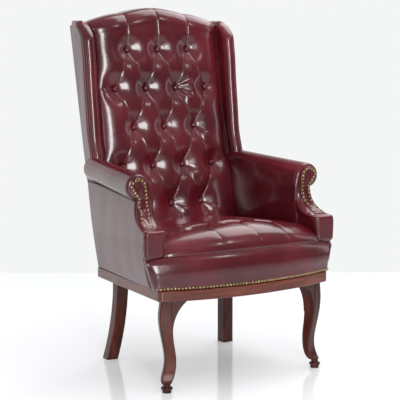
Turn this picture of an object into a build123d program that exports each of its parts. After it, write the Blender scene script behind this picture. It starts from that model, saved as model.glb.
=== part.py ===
from build123d import *
from math import asin, atan, cos, hypot, pi, radians, sin, sqrt
import os

os.makedirs("parts", exist_ok=True)

# High-back wing armchair. Millimetres, +Z up, the front faces -Y, +X is the right side seen from the front.
# The origin is on the floor under the middle of the chair.

# Overall size
chair_height = 1117.0
chair_depth = 669.0
arm_span = 690.0

# Show rail, the polished mahogany board that the upholstered body stands on.
# Every inset to the side is measured inwards from the widest point of the arms,
# and every rise upwards from the rail's top.
leg_height = 272.0
rail_height = 31.0
rail_width = 72.0
rail_edge_round = 3.0
bow_radius = 900.0
front_rail_inset = 43.0
rear_rail_inset = 76.0
back_overhang = 178.0
corner_round = 14.0

# Front leg: a sawn cabriole on a turned foot, square to the bowed rail. Its sections run from the top down
foot_inset = 34.0
foot_corner_setback = 15.82
leg_turn = 22.0
leg_sweep = 17.0
leg_setback = 11.0
leg_width = 39.0
leg_depth = 38.0
leg_corner = 4.0
leg_level_shares = (1.0, 0.83, 0.7, 0.57, 0.42, 0.29, 0.16, 0.095)
leg_sweep_shares = (-0.35, -0.12, -0.21, -0.47, -0.91, -1.0, -0.5, 0.0)
leg_setback_shares = (1.0, 1.0, 1.0, 1.0, 1.0, 1.0, 0.9, 0.3)
leg_width_shares = (1.0, 1.0, 0.98, 0.88, 0.86, 0.9, 0.94, 0.7)
leg_depth_shares = (1.0, 1.0, 0.98, 0.9, 0.77, 0.66, 0.64, 0.6)
foot_ring_radius = 17.5
foot_neck_radius = 11.0
foot_sole_radius = 13.5
foot_sole_height = 8.0
foot_ring_height = 9.0
bracket_length = 44.5
bracket_drop = 94.0
bracket_thickness = 37.0
bracket_hold = 3.0

# Back leg: square, square to the side rail, splayed to the rear and outwards in one sweep
back_leg_side = 38.0
back_leg_corner = 3.5
back_leg_inset = 71.0
back_leg_setback = 19.5
back_leg_sweep = 40.0
back_leg_sweep_angle = 56.7
back_leg_level_shares = (1.0, 0.74, 0.5, 0.35, 0.18, 0.0)
back_leg_side_shares = (1.08, 1.0, 1.0, 1.0, 1.0, 1.02)

# Bolts from the show rail down into the legs
bolt_radius = 4.0
bolt_head_radius = 9.0
bolt_head_height = 5.0
bolt_reach = 35.0
bolt_clearance = 0.2
bolt_inboard = 4.0

# Seat frame on the show rail, with its corner blocks and webbing
frame_inset = 12.0
frame_width = 36.0
frame_height = 72.0
block_size = 62.0
block_height = 50.0
strap_width = 50.0
strap_thickness = 1.6
strap_hold = 12.0
long_strap_share = 0.342
cross_strap_share = 0.1792
long_strap_count = 5
cross_strap_count = 4
cover_inset = 14.0
cover_thickness = 1.0

# Seat pad and front border
border_height = 97.0
border_foot_step = 4.0
border_bulge_step = 1.0
border_top_step = 15.0
border_foot_flare = 6.0
border_bulge_flare = 18.0
border_top_flare = 31.0
border_bulge_share = 0.45
border_shelf = 50.0
border_side_depth = 86.5
seat_crown_rise = 165.0
seat_side_drop = 30.0
seat_fall_angle = 3.5
seat_front_round = 52.0
seat_side_inset = 66.0
seat_tuft_share = 0.419
seat_tuft_setback = 137.0
seat_tuft_depth = 30.0
seat_tuft_radius = 27.0
seat_crease_width = 4.0
seat_crease_depth = 5.0
seat_crease_fan = 14.0

# Back: posts, rails, webbing and the buttoned pad
back_top_drop = 30.0
back_panel_thickness = 6.0
post_width = 40.0
post_thickness = 28.0
post_inset = 93.0
crest_rail_height = 62.0
crest_rail_cover = 20.0
lower_rail_height = 50.0
lower_rail_rise = 127.0
back_strap_share = 0.1461
back_strap_count = 5
pad_side_inset = 104.5
pad_foot_rise = 97.0
pad_front_rise = 188.0
pad_foot_lead = 21.0
pad_rake_share = 0.7576
crest_front_round = 52.0
crest_rear_round = 20.0
crest_fall = 40.0
crest_place_shares = (0.16, 0.5, 0.8)
crest_fall_shares = (0.1, 0.45, 0.78)
button_row_rise = 188.0
button_top_drop = 132.0
button_row_count = 5
button_pitch_share = 0.4657
button_radius = 11.0
button_height = 8.0
tuft_depth = 22.0
tuft_radius = 33.0
tuft_floor_radius = 12.0
channel_width = 34.0
channel_depth = 15.0

# Wings: sections from the arm up to the crest, with a rolled front edge
wing_foot_rise = 272.0
wing_top_drop = 53.0
wing_depth = 93.0
wing_inner_inset = 104.0
wing_outer_inset = 63.0
wing_rear_inset = 72.0
wing_panel_thickness = 4.0
wing_seam_step = 3.0
wing_level_shares = (0.0, 0.145, 0.276, 0.434, 0.616, 0.845, 0.93, 1.0)
wing_depth_shares = (0.65, 0.71, 0.67, 0.75, 0.86, 1.0, 0.99, 0.65)
wing_board_inset = 14.0
wing_board_thickness = 16.0
wing_board_cover = 24.0

# Arms: the roll runs back and inwards from the scroll at the front
roll_front_radius = 39.0
roll_rear_radius = 36.0
roll_front_rise = 288.0
roll_rear_rise = 309.0
roll_lean = 38.0
roll_rear_gap = 1.5
arm_face_setback = 160.0
arm_front_neck_inset = 93.0
arm_rear_neck_inset = 107.0
arm_front_seat_inset = 71.0
arm_rear_seat_inset = 99.0
arm_front_hollow_inset = 57.0
arm_rear_hollow_inset = 87.0
roll_shoulder_angle = 74.0
roll_under_angle = 40.0
roll_seam_angle = 75.0
arm_neck_drop = 41.0
arm_base_gap = 3.2
cove_radius = 85.0
block_setback = 65.0
block_inner_inset = 66.0
block_outer_inset = 7.0
block_round = 7.0
neck_outer_inset = 32.0
cove_outer_inset = 27.0
cove_inner_inset = 89.0
front_pad_reach = 21.5
stump_thickness = 24.0
stump_cover = 8.0
stump_inset = 14.0
arm_board_width = 28.0
arm_board_height = 38.0
arm_board_inset = 24.0
arm_board_setback = 8.0

# Outside arm panel
panel_thickness = 9.0
panel_foot_flare = 6.0
panel_bulge_flare = 31.0
panel_top_flare = 8.0
panel_rear_bulge = 6.0
panel_front_step = 0.5

# Nailed facing on the arm front, and the brass nails
facing_thickness = 3.0
facing_top_radius = 29.0
facing_top_rise = 1.0
facing_half_width = 18.0
facing_foot_inset = 39.0
facing_neck_inset = 52.5
facing_foot_rise = 175.0
nail_radius = 4.5
nail_height = 2.6
nail_pitch = 10.8
nail_lift = 0.25
nail_edge = 6.5
border_nail_level = 6.0

# Cutters run this far past what they cut
overrun = 40.0

# Widths that follow from the arm span
half_span = arm_span / 2
front_half_width = half_span - front_rail_inset
rear_half_width = half_span - rear_rail_inset
seat_half_width = half_span - seat_side_inset
post_half_span = half_span - post_inset
pad_half_width = half_span - pad_side_inset
wing_inner_x = half_span - wing_inner_inset
wing_outer_x = half_span - wing_outer_inset
wing_rear_x = half_span - wing_rear_inset
arm_front_neck_x = half_span - arm_front_neck_inset
arm_rear_neck_x = half_span - arm_rear_neck_inset
arm_front_seat_x = half_span - arm_front_seat_inset
arm_rear_seat_x = half_span - arm_rear_seat_inset
arm_front_hollow_x = half_span - arm_front_hollow_inset
arm_rear_hollow_x = half_span - arm_rear_hollow_inset
block_inner_x = half_span - block_inner_inset
block_outer_x = half_span - block_outer_inset
neck_outer_x = half_span - neck_outer_inset
cove_outer_x = half_span - cove_outer_inset
cove_inner_x = half_span - cove_inner_inset
facing_foot_x = half_span - facing_foot_inset
facing_neck_x = half_span - facing_neck_inset
roll_front_x = half_span - roll_front_radius
seat_tuft_spacing = seat_half_width * seat_tuft_share
button_pitch = pad_half_width * button_pitch_share
long_strap_pitch = rear_half_width * long_strap_share

# Places and heights that follow from the sizes
front_y = -chair_depth / 2
seat_depth = chair_depth - back_overhang
rear_y = front_y + seat_depth
rail_top = leg_height + rail_height
seat_crown_height = rail_top + seat_crown_rise
lower_rail_level = rail_top + lower_rail_rise
pad_foot_level = rail_top + pad_foot_rise
pad_front_level = rail_top + pad_front_rise
button_row_level = rail_top + button_row_rise
wing_foot_level = rail_top + wing_foot_rise
roll_front_level = rail_top + roll_front_rise
roll_rear_level = rail_top + roll_rear_rise
facing_foot_level = rail_top + facing_foot_rise
frame_top = rail_top + frame_height
web_top = frame_top + 2 * strap_thickness
cross_strap_pitch = seat_depth * cross_strap_share
back_top_level = chair_height - back_top_drop
back_rake = (chair_depth / 2 - rear_y) / (back_top_level - rail_top)
pad_front_slope = back_rake * pad_rake_share
back_strap_pitch = (back_top_level - lower_rail_level) * back_strap_share
wing_top_level = chair_height - wing_top_drop
button_row_pitch = (chair_height - button_top_drop - button_row_level) / (button_row_count - 1)
arm_face_y = front_y + arm_face_setback
block_y = front_y + block_setback
cove_y = arm_face_y - cove_radius
neck_level = roll_front_level - roll_front_radius + stump_cover
lip_level = neck_level - cove_radius
border_top = rail_top + border_height
border_rear_y = front_y + border_side_depth
roll_rear_y = rear_y - roll_rear_gap
wide = chair_depth + arm_span


def save(solid, node):
    """Write one node of the chair as a STEP file."""
    solid.label = node
    export_step(solid, f"parts/{node}.step")


def save_pair(solid, node):
    """Write a right-hand piece and its mirror image on the left."""
    save(solid, f"{node}_right")
    save(mirror(solid, about=Plane.YZ), f"{node}_left")


def block(x, y, z):
    """Box between low and high values along each axis."""
    middle = ((x[0] + x[1]) / 2, (y[0] + y[1]) / 2, (z[0] + z[1]) / 2)
    return Pos(*middle) * Box(x[1] - x[0], y[1] - y[0], z[1] - z[0])


def loop_face(*edges):
    """Face inside a closed loop of edges."""
    return Face(Wire(edges))


def polygon_face(points):
    """Face inside a closed polygon."""
    return Face(Wire.make_polygon([Vector(*point) for point in points], close=True))


def side_prism(points, x):
    """Y-Z polygon carried along X between two values."""
    face = polygon_face([(x[0], y, z) for y, z in points])
    return extrude(face, amount=x[1] - x[0], dir=(1, 0, 0))


def bow_fall(radius, half_width):
    """How far a bow of this radius falls back at a distance from the middle."""
    return radius - sqrt(radius**2 - half_width**2)


def seat_face(front, side, rear, z):
    """Plan of the seat with its front, sides and rear moved outwards by the given steps."""
    half_front = front_half_width + side
    half_rear = rear_half_width + side
    radius = bow_radius + front
    apex = front_y - front
    corner = apex + bow_fall(radius, half_front)
    back = rear_y + rear
    return loop_face(
        ThreePointArc((-half_front, corner, z), (0, apex, z), (half_front, corner, z)),
        Line((half_front, corner, z), (half_rear, back, z)),
        Line((half_rear, back, z), (-half_rear, back, z)),
        Line((-half_rear, back, z), (-half_front, corner, z)),
    )


def seat_prism(inset, low, high):
    """The seat's plan drawn in by one inset all round, between two heights."""
    return extrude(seat_face(-inset, -inset, -inset, low), amount=high - low, dir=(0, 0, 1))


def corner_edges(solid):
    """The two upright edges at the front corners."""
    return solid.edges().filter_by(Axis.Z).sort_by(Axis.Y)[:2]


def split_ring(ring, inset, width):
    """Cut a ring of seat rails into front, side and rear rails with butt joints."""
    front_line = front_y + inset + bow_fall(bow_radius - inset, front_half_width - inset) + width
    rear_line = rear_y - inset - width
    everything = (-wide, wide)
    front = ring & block(everything, (-wide, front_line), everything)
    rear = ring & block(everything, (rear_line, wide), everything)
    right = ring & block((0, wide), (front_line, rear_line), everything)
    return front, right, rear


def lean_y(offset, z):
    """Y of the raked plane that lies this far ahead of the back's outer face."""
    return rear_y + back_rake * (z - rail_top) - offset


def leaning_slab(rear_offset, front_offset, z, x):
    """Board parallel to the raked back."""
    points = [
        (lean_y(rear_offset, z[0]), z[0]),
        (lean_y(front_offset, z[0]), z[0]),
        (lean_y(front_offset, z[1]), z[1]),
        (lean_y(rear_offset, z[1]), z[1]),
    ]
    return side_prism(points, x)


def pad_y(z):
    """Y of the back pad's front plane."""
    return rear_y - pad_foot_lead + pad_front_slope * (z - pad_front_level)


# Show rail

def show_rails():
    """Front, right and rear show rail with a softened outer edge."""
    outer = seat_prism(0, leg_height, rail_top)
    outer = fillet(corner_edges(outer), corner_round)
    lips = outer.faces().filter_by(Axis.Z).edges()
    outer = fillet(lips, rail_edge_round)
    ring = outer - seat_prism(rail_width, leg_height - overrun, rail_top + overrun)
    return split_ring(ring, 0, rail_width)


# Legs

foot_x = front_half_width - foot_inset
foot_y = front_y + bow_fall(bow_radius, front_half_width) + foot_corner_setback
leg_top_x = foot_x + leg_sweep * leg_sweep_shares[0]
leg_top_y = foot_y + leg_setback * leg_setback_shares[0]
foot_height = leg_height * leg_level_shares[-1]
back_leg_top_x = rear_half_width - back_leg_inset
back_leg_top_y = rear_y - back_leg_setback
side_turn = atan((front_half_width - rear_half_width) / seat_depth)


def leg_plane(x, y, level, turn):
    """Level plane at one section of a leg, turned about the upright."""
    return Plane((x, y, leg_height * level), x_dir=(cos(turn), sin(turn), 0), z_dir=(0, 0, 1))


def front_leg():
    """Cabriole leg sawn to an S from side to side, on a turned foot."""
    sections = []
    for level, sweep, setback, width, depth in zip(
        leg_level_shares,
        leg_sweep_shares,
        leg_setback_shares,
        leg_width_shares,
        leg_depth_shares,
    ):
        x = foot_x + leg_sweep * sweep
        y = foot_y + leg_setback * setback
        outline = RectangleRounded(leg_width * width, leg_depth * depth, leg_corner)
        sections.append(leg_plane(x, y, level, radians(leg_turn)) * outline)
    shin = loft(sections)
    neck_low = foot_sole_height + foot_ring_height
    ring_middle = foot_sole_height + foot_ring_height / 2
    outline = loop_face(
        Line((0, 0, 0), (foot_sole_radius, 0, 0)),
        Line((foot_sole_radius, 0, 0), (foot_sole_radius, 0, foot_sole_height)),
        ThreePointArc(
            (foot_sole_radius, 0, foot_sole_height),
            (foot_ring_radius, 0, ring_middle),
            (foot_neck_radius, 0, neck_low),
        ),
        Line((foot_neck_radius, 0, neck_low), (foot_neck_radius, 0, foot_height)),
        Line((foot_neck_radius, 0, foot_height), (0, 0, foot_height)),
        Line((0, 0, foot_height), (0, 0, 0)),
    )
    foot = Pos(foot_x, foot_y, 0) * revolve(outline, Axis.Z, 360)
    return shin + foot


def knee_bracket(leg):
    """Block in line with the front leg, whose hollow runs from the leg's inner side up to the rail."""
    turn = radians(leg_turn)
    rearward = Vector(-sin(turn), cos(turn), 0)
    inward = Vector(-cos(turn), -sin(turn), 0)
    corner = Vector(leg_top_x, leg_top_y, leg_height) - rearward * (bracket_thickness / 2)

    def at(across, up):
        return corner + inward * across + Vector(0, 0, up)

    start = leg_width / 2 - bracket_hold
    radius = (bracket_length**2 + bracket_drop**2) / (2 * bracket_length)
    half = asin(bracket_drop / radius) / 2
    middle = at(start + radius * (1 - cos(half)), radius * sin(half) - bracket_drop)
    tip = at(start + bracket_length, 0)
    low = at(start, -bracket_drop)
    face = loop_face(
        Line(at(0, 0), tip),
        ThreePointArc(tip, middle, low),
        Line(low, at(0, -bracket_drop)),
        Line(at(0, -bracket_drop), at(0, 0)),
    )
    return extrude(face, amount=bracket_thickness, dir=rearward) - leg


def back_leg():
    """Square leg with a sabre bend to the rear and outwards."""
    angle = radians(back_leg_sweep_angle)
    sections = []
    for level, share in zip(back_leg_level_shares, back_leg_side_shares):
        sweep = back_leg_sweep * (1 - level) ** 2
        x = back_leg_top_x + sweep * cos(angle)
        y = back_leg_top_y + sweep * sin(angle)
        side = back_leg_side * share
        sections.append(leg_plane(x, y, level, side_turn) * RectangleRounded(side, side, back_leg_corner))
    return loft(sections)


def bolt(x, y, clearance):
    """Hanger bolt with a round head on the show rail, or its hole."""
    shank_foot = leg_height - bolt_reach - clearance
    shank = Cylinder(
        bolt_radius + clearance,
        rail_top - shank_foot,
        align=(Align.CENTER, Align.CENTER, Align.MIN),
    )
    head = Cylinder(
        bolt_head_radius + clearance,
        bolt_head_height,
        align=(Align.CENTER, Align.CENTER, Align.MIN),
    )
    return Pos(x, y, shank_foot) * shank + Pos(x, y, rail_top) * head


bolt_places = (
    (leg_top_x - bolt_inboard, leg_top_y + bolt_inboard),
    (back_leg_top_x - bolt_inboard, back_leg_top_y - bolt_inboard),
)


def leg_bolts(clearance):
    """The two bolts on the right-hand side."""
    return [bolt(x, y, clearance) for x, y in bolt_places]


# Seat frame, corner blocks and webbing

def seat_frame():
    """Hidden beech rails on the show rail."""
    outer = seat_prism(frame_inset, rail_top, frame_top)
    inner = seat_prism(frame_inset + frame_width, rail_top - overrun, frame_top + overrun)
    return split_ring(outer - inner, frame_inset, frame_width)


def corner_blocks():
    """Four triangular blocks glued into the inner corners of the seat frame."""
    inset = frame_inset + frame_width
    inside = seat_prism(inset, frame_top - block_height, frame_top)
    front_corner = front_y + inset + bow_fall(bow_radius - inset, front_half_width - inset)
    places = (
        (front_half_width - inset, front_corner, 1),
        (rear_half_width - inset, rear_y - inset, -1),
    )
    blocks = []
    for x, y, turn in places:
        for hand in (1, -1):
            cutter = Rot(0, 0, hand * turn * 45) * Box(wide, block_size * sqrt(2), wide)
            blocks.append(inside & (Pos(hand * x, y, frame_top) * cutter))
    return Compound(children=[solid for piece in blocks for solid in piece.solids()])


def seat_webbing():
    """Crossed straps tacked to the top of the seat frame."""
    reach = seat_prism(frame_inset + frame_width - strap_hold, frame_top, web_top)
    lower = (frame_top, frame_top + strap_thickness)
    upper = (frame_top + strap_thickness, web_top)
    half = strap_width / 2
    straps = []
    for index in range(long_strap_count):
        x = (index - (long_strap_count - 1) / 2) * long_strap_pitch
        straps.append(reach & block((x - half, x + half), (-wide, wide), lower))
    for index in range(cross_strap_count):
        y = (front_y + rear_y) / 2 + (index - (cross_strap_count - 1) / 2) * cross_strap_pitch
        straps.append(reach & block((-wide, wide), (y - half, y + half), upper))
    return Compound(children=[solid for strap in straps for solid in strap.solids()])


# Arms

def arm_side(inset, low, high, rear):
    """Side view of the arm with its coved front, drawn in by an inset and carried across the arm."""
    x = 0
    front = block_y + inset
    lip = lip_level - inset
    radius = cove_radius + inset
    arc_low = (x, cove_y, lip)
    arc_middle = (x, cove_y + radius * sin(pi / 4), neck_level - radius * sin(pi / 4))
    arc_high = (x, cove_y + radius, neck_level)
    face = loop_face(
        Line((x, front, low), (x, front, lip)),
        Line((x, front, lip), arc_low),
        ThreePointArc(arc_low, arc_middle, arc_high),
        Line(arc_high, (x, cove_y + radius, high)),
        Line((x, cove_y + radius, high), (x, rear, high)),
        Line((x, rear, high), (x, rear, low)),
        Line((x, rear, low), (x, front, low)),
    )
    return extrude(face, amount=wide, dir=(1, 0, 0))


def arm_section(y, centre_x, centre_z, radius, neck_x, seat_x, hollow_x):
    """Cross-section of the arm: padded inner face, round top, and the roll down to its seam."""

    def around(angle):
        turn = radians(angle)
        return centre_x + radius * cos(turn), y, centre_z + radius * sin(turn)

    low = frame_top + arm_base_gap
    neck = (neck_x, y, centre_z - arm_neck_drop)
    shoulder = around(90 + roll_shoulder_angle)
    crown = around(90)
    outer_top = around(45)
    outer = around(0)
    under = around(-roll_under_angle)
    seam = around(-roll_seam_angle)
    return loop_face(
        Line((seat_x, y, low), neck),
        ThreePointArc(neck, shoulder, crown),
        ThreePointArc(crown, outer_top, outer),
        ThreePointArc(outer, under, seam),
        Line(seam, (hollow_x, y, seam[2])),
        Line((hollow_x, y, seam[2]), (hollow_x, y, low)),
        Line((hollow_x, y, low), (seat_x, y, low)),
    )


def arm_board(spread):
    """Rail inside the roll, from the stump back to the post, or the wider space under its top face."""
    front_x = roll_front_x - arm_board_inset
    ends = (
        (arm_face_y + arm_board_setback, front_x, roll_front_level),
        (lean_y(back_panel_thickness, wing_foot_level), front_x - roll_lean, roll_rear_level),
    )
    faces = []
    for y, x, z in ends:
        low = z - arm_board_height - spread
        near = x - spread
        far = x + arm_board_width + spread
        faces.append(polygon_face([(near, y, low), (far, y, low), (far, y, z), (near, y, z)]))
    return loft(faces, ruled=True)


def arm_stump():
    """Upright behind the arm front, flared outwards, with the cove sawn into its front edge."""
    mid_x = block_inner_x + stump_cover
    foot_x_low = front_half_width - frame_inset - stump_thickness
    neck_x = arm_front_hollow_x - stump_cover
    top = roll_front_level - arm_board_height
    shoulder = border_top + overrun
    inner = [(foot_x_low, frame_top), (mid_x, shoulder), (mid_x, lip_level), (neck_x, top)]
    outer = [(x + stump_thickness, z) for x, z in reversed(inner)]
    face = polygon_face([(x, block_y, z) for x, z in inner + outer])
    board = extrude(face, amount=arm_face_y + front_pad_reach + stump_inset - block_y, dir=(0, 1, 0))
    return board & arm_side(stump_cover, frame_top, neck_level + overrun, wide)


def arm_front_pad():
    """Padded front of the arm: square block on the border, coved back to the neck of the scroll."""
    y = block_y
    top = neck_level
    low = border_top
    inner_bend = (cove_inner_x, y, (lip_level + top) / 2)
    outer_bend = (cove_outer_x, y, (lip_level + top) / 2)
    face = loop_face(
        Line((block_inner_x, y, low), (block_inner_x, y, lip_level)),
        ThreePointArc((block_inner_x, y, lip_level), inner_bend, (arm_front_neck_x, y, top)),
        Line((arm_front_neck_x, y, top), (neck_outer_x, y, top)),
        ThreePointArc((neck_outer_x, y, top), outer_bend, (block_outer_x, y, lip_level)),
        Line((block_outer_x, y, lip_level), (block_outer_x, y, low)),
        Line((block_outer_x, y, low), (block_inner_x, y, low)),
    )
    across = extrude(face, amount=arm_face_y + front_pad_reach - block_y, dir=(0, 1, 0))
    across = fillet(across.edges().filter_by(Axis.Z).sort_by(Axis.Y)[:2], block_round)
    return across & arm_side(0, low, top + overrun, wide)


def arm_pad():
    """Inner arm and roll, lofted from the scroll back to the wing."""
    front = arm_section(
        arm_face_y, roll_front_x, roll_front_level, roll_front_radius,
        arm_front_neck_x, arm_front_seat_x, arm_front_hollow_x,
    )
    rear = arm_section(
        roll_rear_y, roll_front_x - roll_lean, roll_rear_level, roll_rear_radius,
        arm_rear_neck_x, arm_rear_seat_x, arm_rear_hollow_x,
    )
    front_space = block((0, wide), (-wide, arm_face_y + front_pad_reach), (0, neck_level))
    return loft([front, rear], ruled=True) - front_space


def facing_outline():
    """Keyhole outline of the facing seen from the front, carried back through the arm."""
    y = block_y - overrun
    foot = facing_foot_level
    left_foot = (facing_foot_x - facing_half_width, y, foot)
    right_foot = (facing_foot_x + facing_half_width, y, foot)
    bend = (lip_level + neck_level) / 2
    left_neck = (facing_neck_x - facing_half_width, y, neck_level)
    right_neck = (facing_neck_x + facing_half_width, y, neck_level)
    left_bend = (facing_neck_x - facing_half_width, y, bend)
    right_bend = (facing_neck_x + facing_half_width, y, bend)
    top_z = roll_front_level + facing_top_rise
    left_top = (roll_front_x + facing_top_rise - facing_top_radius, y, top_z)
    crown = (roll_front_x + facing_top_rise, y, top_z + facing_top_radius)
    right_top = (roll_front_x + facing_top_rise + facing_top_radius, y, top_z)
    high = facing_top_radius * sin(pi / 4)
    left_high = (crown[0] - high, y, top_z + high)
    right_high = (crown[0] + high, y, top_z + high)
    return loop_face(
        Line(left_foot, left_bend),
        Line(left_bend, left_neck),
        Line(left_neck, left_top),
        ThreePointArc(left_top, left_high, crown),
        ThreePointArc(crown, right_high, right_top),
        Line(right_top, right_neck),
        Line(right_neck, right_bend),
        Line(right_bend, right_foot),
        Line(right_foot, left_foot),
    )


def arm_facing():
    """Leather facing that follows the scroll's face and the cove below it."""
    outline = extrude(facing_outline(), amount=wide, dir=(0, 1, 0))
    high = roll_front_level + roll_front_radius
    skin = arm_side(-facing_thickness, lip_level, high, wide)
    skin -= arm_side(0, lip_level - overrun, high + overrun, 2 * wide)
    return outline & skin


def face_place(x, z):
    """Place and outward direction on the facing's surface at a height."""
    if z >= neck_level:
        return (x, arm_face_y - facing_thickness, z), (0, -1, 0)
    radius = cove_radius - facing_thickness
    turn = asin(min(1, (neck_level - z) / radius))
    return (x, cove_y + radius * cos(turn), neck_level - radius * sin(turn)), (0, -cos(turn), sin(turn))


def dome(radius, height):
    """Cap of a ball standing on the local XY plane."""
    ball = (radius**2 + height**2) / (2 * height)
    return Pos(0, 0, height - ball) * Sphere(ball) & Pos(0, 0, height) * Box(2 * ball, 2 * ball, 2 * height)


def nail(place, outward):
    """Domed nail head seated on a surface."""
    head = dome(nail_radius, nail_height)
    plane = Plane(origin=Vector(*place) + Vector(*outward) * nail_lift, z_dir=Vector(*outward))
    return plane * head


def facing_nails():
    """Row of nails round the keyhole, open at its foot."""
    half = facing_half_width - nail_edge
    radius = facing_top_radius - nail_edge
    bend = (lip_level + neck_level) / 2
    top_x = roll_front_x + facing_top_rise
    top_z = roll_front_level + facing_top_rise
    path = Wire(
        [
            Line((facing_foot_x - half, 0, facing_foot_level + nail_edge), (facing_neck_x - half, 0, bend)),
            Line((facing_neck_x - half, 0, bend), (facing_neck_x - half, 0, neck_level)),
            Line((facing_neck_x - half, 0, neck_level), (top_x - radius, 0, top_z)),
            ThreePointArc(
                (top_x - radius, 0, top_z),
                (top_x, 0, top_z + radius),
                (top_x + radius, 0, top_z),
            ),
            Line((top_x + radius, 0, top_z), (facing_neck_x + half, 0, neck_level)),
            Line((facing_neck_x + half, 0, neck_level), (facing_neck_x + half, 0, bend)),
            Line((facing_neck_x + half, 0, bend), (facing_foot_x + half, 0, facing_foot_level + nail_edge)),
        ]
    )
    count = int(path.length / nail_pitch)
    heads = []
    for index in range(count + 1):
        point = path.position_at(index / count)
        heads += nail(*face_place(point.X, point.Z)).solids()
    return Compound(children=heads)


def outside_sheet(outward):
    """Outside arm flared at the front and straight at the rear, thickened outwards by an extra amount."""
    edge_y = border_rear_y + panel_front_step
    half = (rail_top + wing_foot_level) / 2
    front = [
        (front_half_width + panel_foot_flare, edge_y, rail_top),
        (front_half_width + panel_bulge_flare, edge_y, half),
        (front_half_width + panel_top_flare, edge_y, wing_foot_level),
    ]
    rear = [
        (rear_half_width, lean_y(0, rail_top), rail_top),
        (rear_half_width + panel_rear_bulge, lean_y(0, half), half),
        (wing_rear_x, lean_y(0, wing_foot_level), wing_foot_level),
    ]
    faces = []
    for line in (front, rear):
        inner = [(x - panel_thickness, y, z) for x, y, z in line]
        outer = [(x + outward, y, z) for x, y, z in line]
        faces.append(
            loop_face(
                ThreePointArc(*outer),
                Line(outer[2], inner[2]),
                ThreePointArc(inner[2], inner[1], inner[0]),
                Line(inner[0], outer[0]),
            )
        )
    return loft(faces, ruled=True) & arm_side(stump_cover, rail_top, neck_level + overrun, wide)


# Wings

def wing_stations():
    """Height, front line and rear line of each section of the wing."""
    stations = []
    for level_share, depth_share in zip(wing_level_shares, wing_depth_shares):
        z = wing_foot_level + (wing_top_level - wing_foot_level) * level_share
        stations.append((z, lean_y(wing_depth * depth_share, z), lean_y(back_panel_thickness, z)))
    return stations


def wing_pad_blank():
    """Padded wing with a round front edge."""
    radius = (wing_outer_x - wing_inner_x) / 2
    centre = (wing_outer_x + wing_inner_x) / 2
    diagonal = radius * sin(pi / 4)
    skin_front = wing_outer_x - wing_panel_thickness
    skin_rear = wing_rear_x - wing_panel_thickness
    sections = []
    for z, front, rear in wing_stations():
        seam = front + wing_seam_step
        inner = (wing_inner_x, front, z)
        nose = (centre, front - radius, z)
        outer = (wing_outer_x, front, z)
        sections.append(
            loop_face(
                ThreePointArc(inner, (centre - diagonal, front - diagonal, z), nose),
                ThreePointArc(nose, (centre + diagonal, front - diagonal, z), outer),
                Line(outer, (wing_outer_x, seam, z)),
                Line((wing_outer_x, seam, z), (skin_front, seam, z)),
                Line((skin_front, seam, z), (skin_rear, rear, z)),
                Line((skin_rear, rear, z), (wing_inner_x, rear, z)),
                Line((wing_inner_x, rear, z), inner),
            )
        )
    return loft(sections, ruled=True)


def wing_panel():
    """Flat outer face of the wing, from the roll's seam to the rear corner."""
    sections = []
    for z, front, rear in wing_stations():
        seam = front + wing_seam_step
        sections.append(
            polygon_face(
                [
                    (wing_outer_x - wing_panel_thickness, seam, z),
                    (wing_outer_x, seam, z),
                    (wing_rear_x, rear, z),
                    (wing_rear_x - wing_panel_thickness, rear, z),
                ]
            )
        )
    return loft(sections, ruled=True)


def wing_board():
    """Board inside the wing, standing on the arm board beside the post."""
    low = wing_foot_level
    high = wing_top_level - wing_board_cover
    front = [(lean_y(wing_depth * min(wing_depth_shares) - wing_board_inset, z), z) for z in (low, high)]
    rear = [(lean_y(back_panel_thickness, z), z) for z in (high, low)]
    return side_prism(front + rear, (post_half_span, post_half_span + wing_board_thickness))


# Back

def back_post():
    """Raked post from the seat frame to the crest rail."""
    rear = back_panel_thickness + strap_thickness
    height = (frame_top, back_top_level - crest_fall)
    across = (post_half_span - post_width, post_half_span)
    return leaning_slab(rear, rear + post_thickness, height, across)


def crest_line(half, top):
    """Camel-back line from side to side: long slopes that meet in a rounded peak."""
    pairs = zip(crest_place_shares, crest_fall_shares)
    places = [(half * place, top - crest_fall * fall) for place, fall in pairs]
    right = [(half, top - crest_fall)] + places[::-1]
    left = [(-x, z) for x, z in reversed(right)]
    return Spline(*[(x, -wide, z) for x, z in right + [(0, top)] + left])


def crest_face(drop, low):
    """Front view of the back under the arched crest, lowered by a drop."""
    y = -wide
    half = pad_half_width
    side = chair_height - crest_fall - drop
    return loop_face(
        Line((-half, y, low), (half, y, low)),
        Line((half, y, low), (half, y, side)),
        crest_line(half, chair_height - drop),
        Line((-half, y, side), (-half, y, low)),
    )


def crest_rail():
    """Arched rail between the posts."""
    rear = back_panel_thickness + strap_thickness
    inner = post_half_span - post_width
    height = (back_top_level - crest_fall - crest_rail_height, chair_height)
    slab = leaning_slab(rear, rear + post_thickness, height, (-inner, inner))
    return slab & extrude(crest_face(crest_rail_cover, 0), amount=2 * wide, dir=(0, 1, 0))


def lower_rail():
    """Rail between the posts behind the seat."""
    rear = back_panel_thickness + strap_thickness
    inner = post_half_span - post_width
    height = (lower_rail_level, lower_rail_level + lower_rail_height)
    return leaning_slab(rear, rear + post_thickness, height, (-inner, inner))


def back_webbing():
    """Straps across the rear of the posts."""
    half = post_half_span - post_width + strap_hold
    rear = back_panel_thickness
    straps = []
    for index in range(back_strap_count):
        low = lower_rail_level + lower_rail_height + strap_thickness + index * back_strap_pitch
        strap = leaning_slab(rear, rear + strap_thickness, (low, low + strap_width), (-half, half))
        straps += strap.solids()
    return Compound(children=straps)


def button_places():
    """Buttons of the back in rows of three and four, as x and height on the pad's front plane."""
    places = []
    for row in range(button_row_count):
        count = 4 if row % 2 else 3
        z = button_row_level + row * button_row_pitch
        for index in range(count):
            places.append(((index - (count - 1) / 2) * button_pitch, z, row))
    return places


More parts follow.
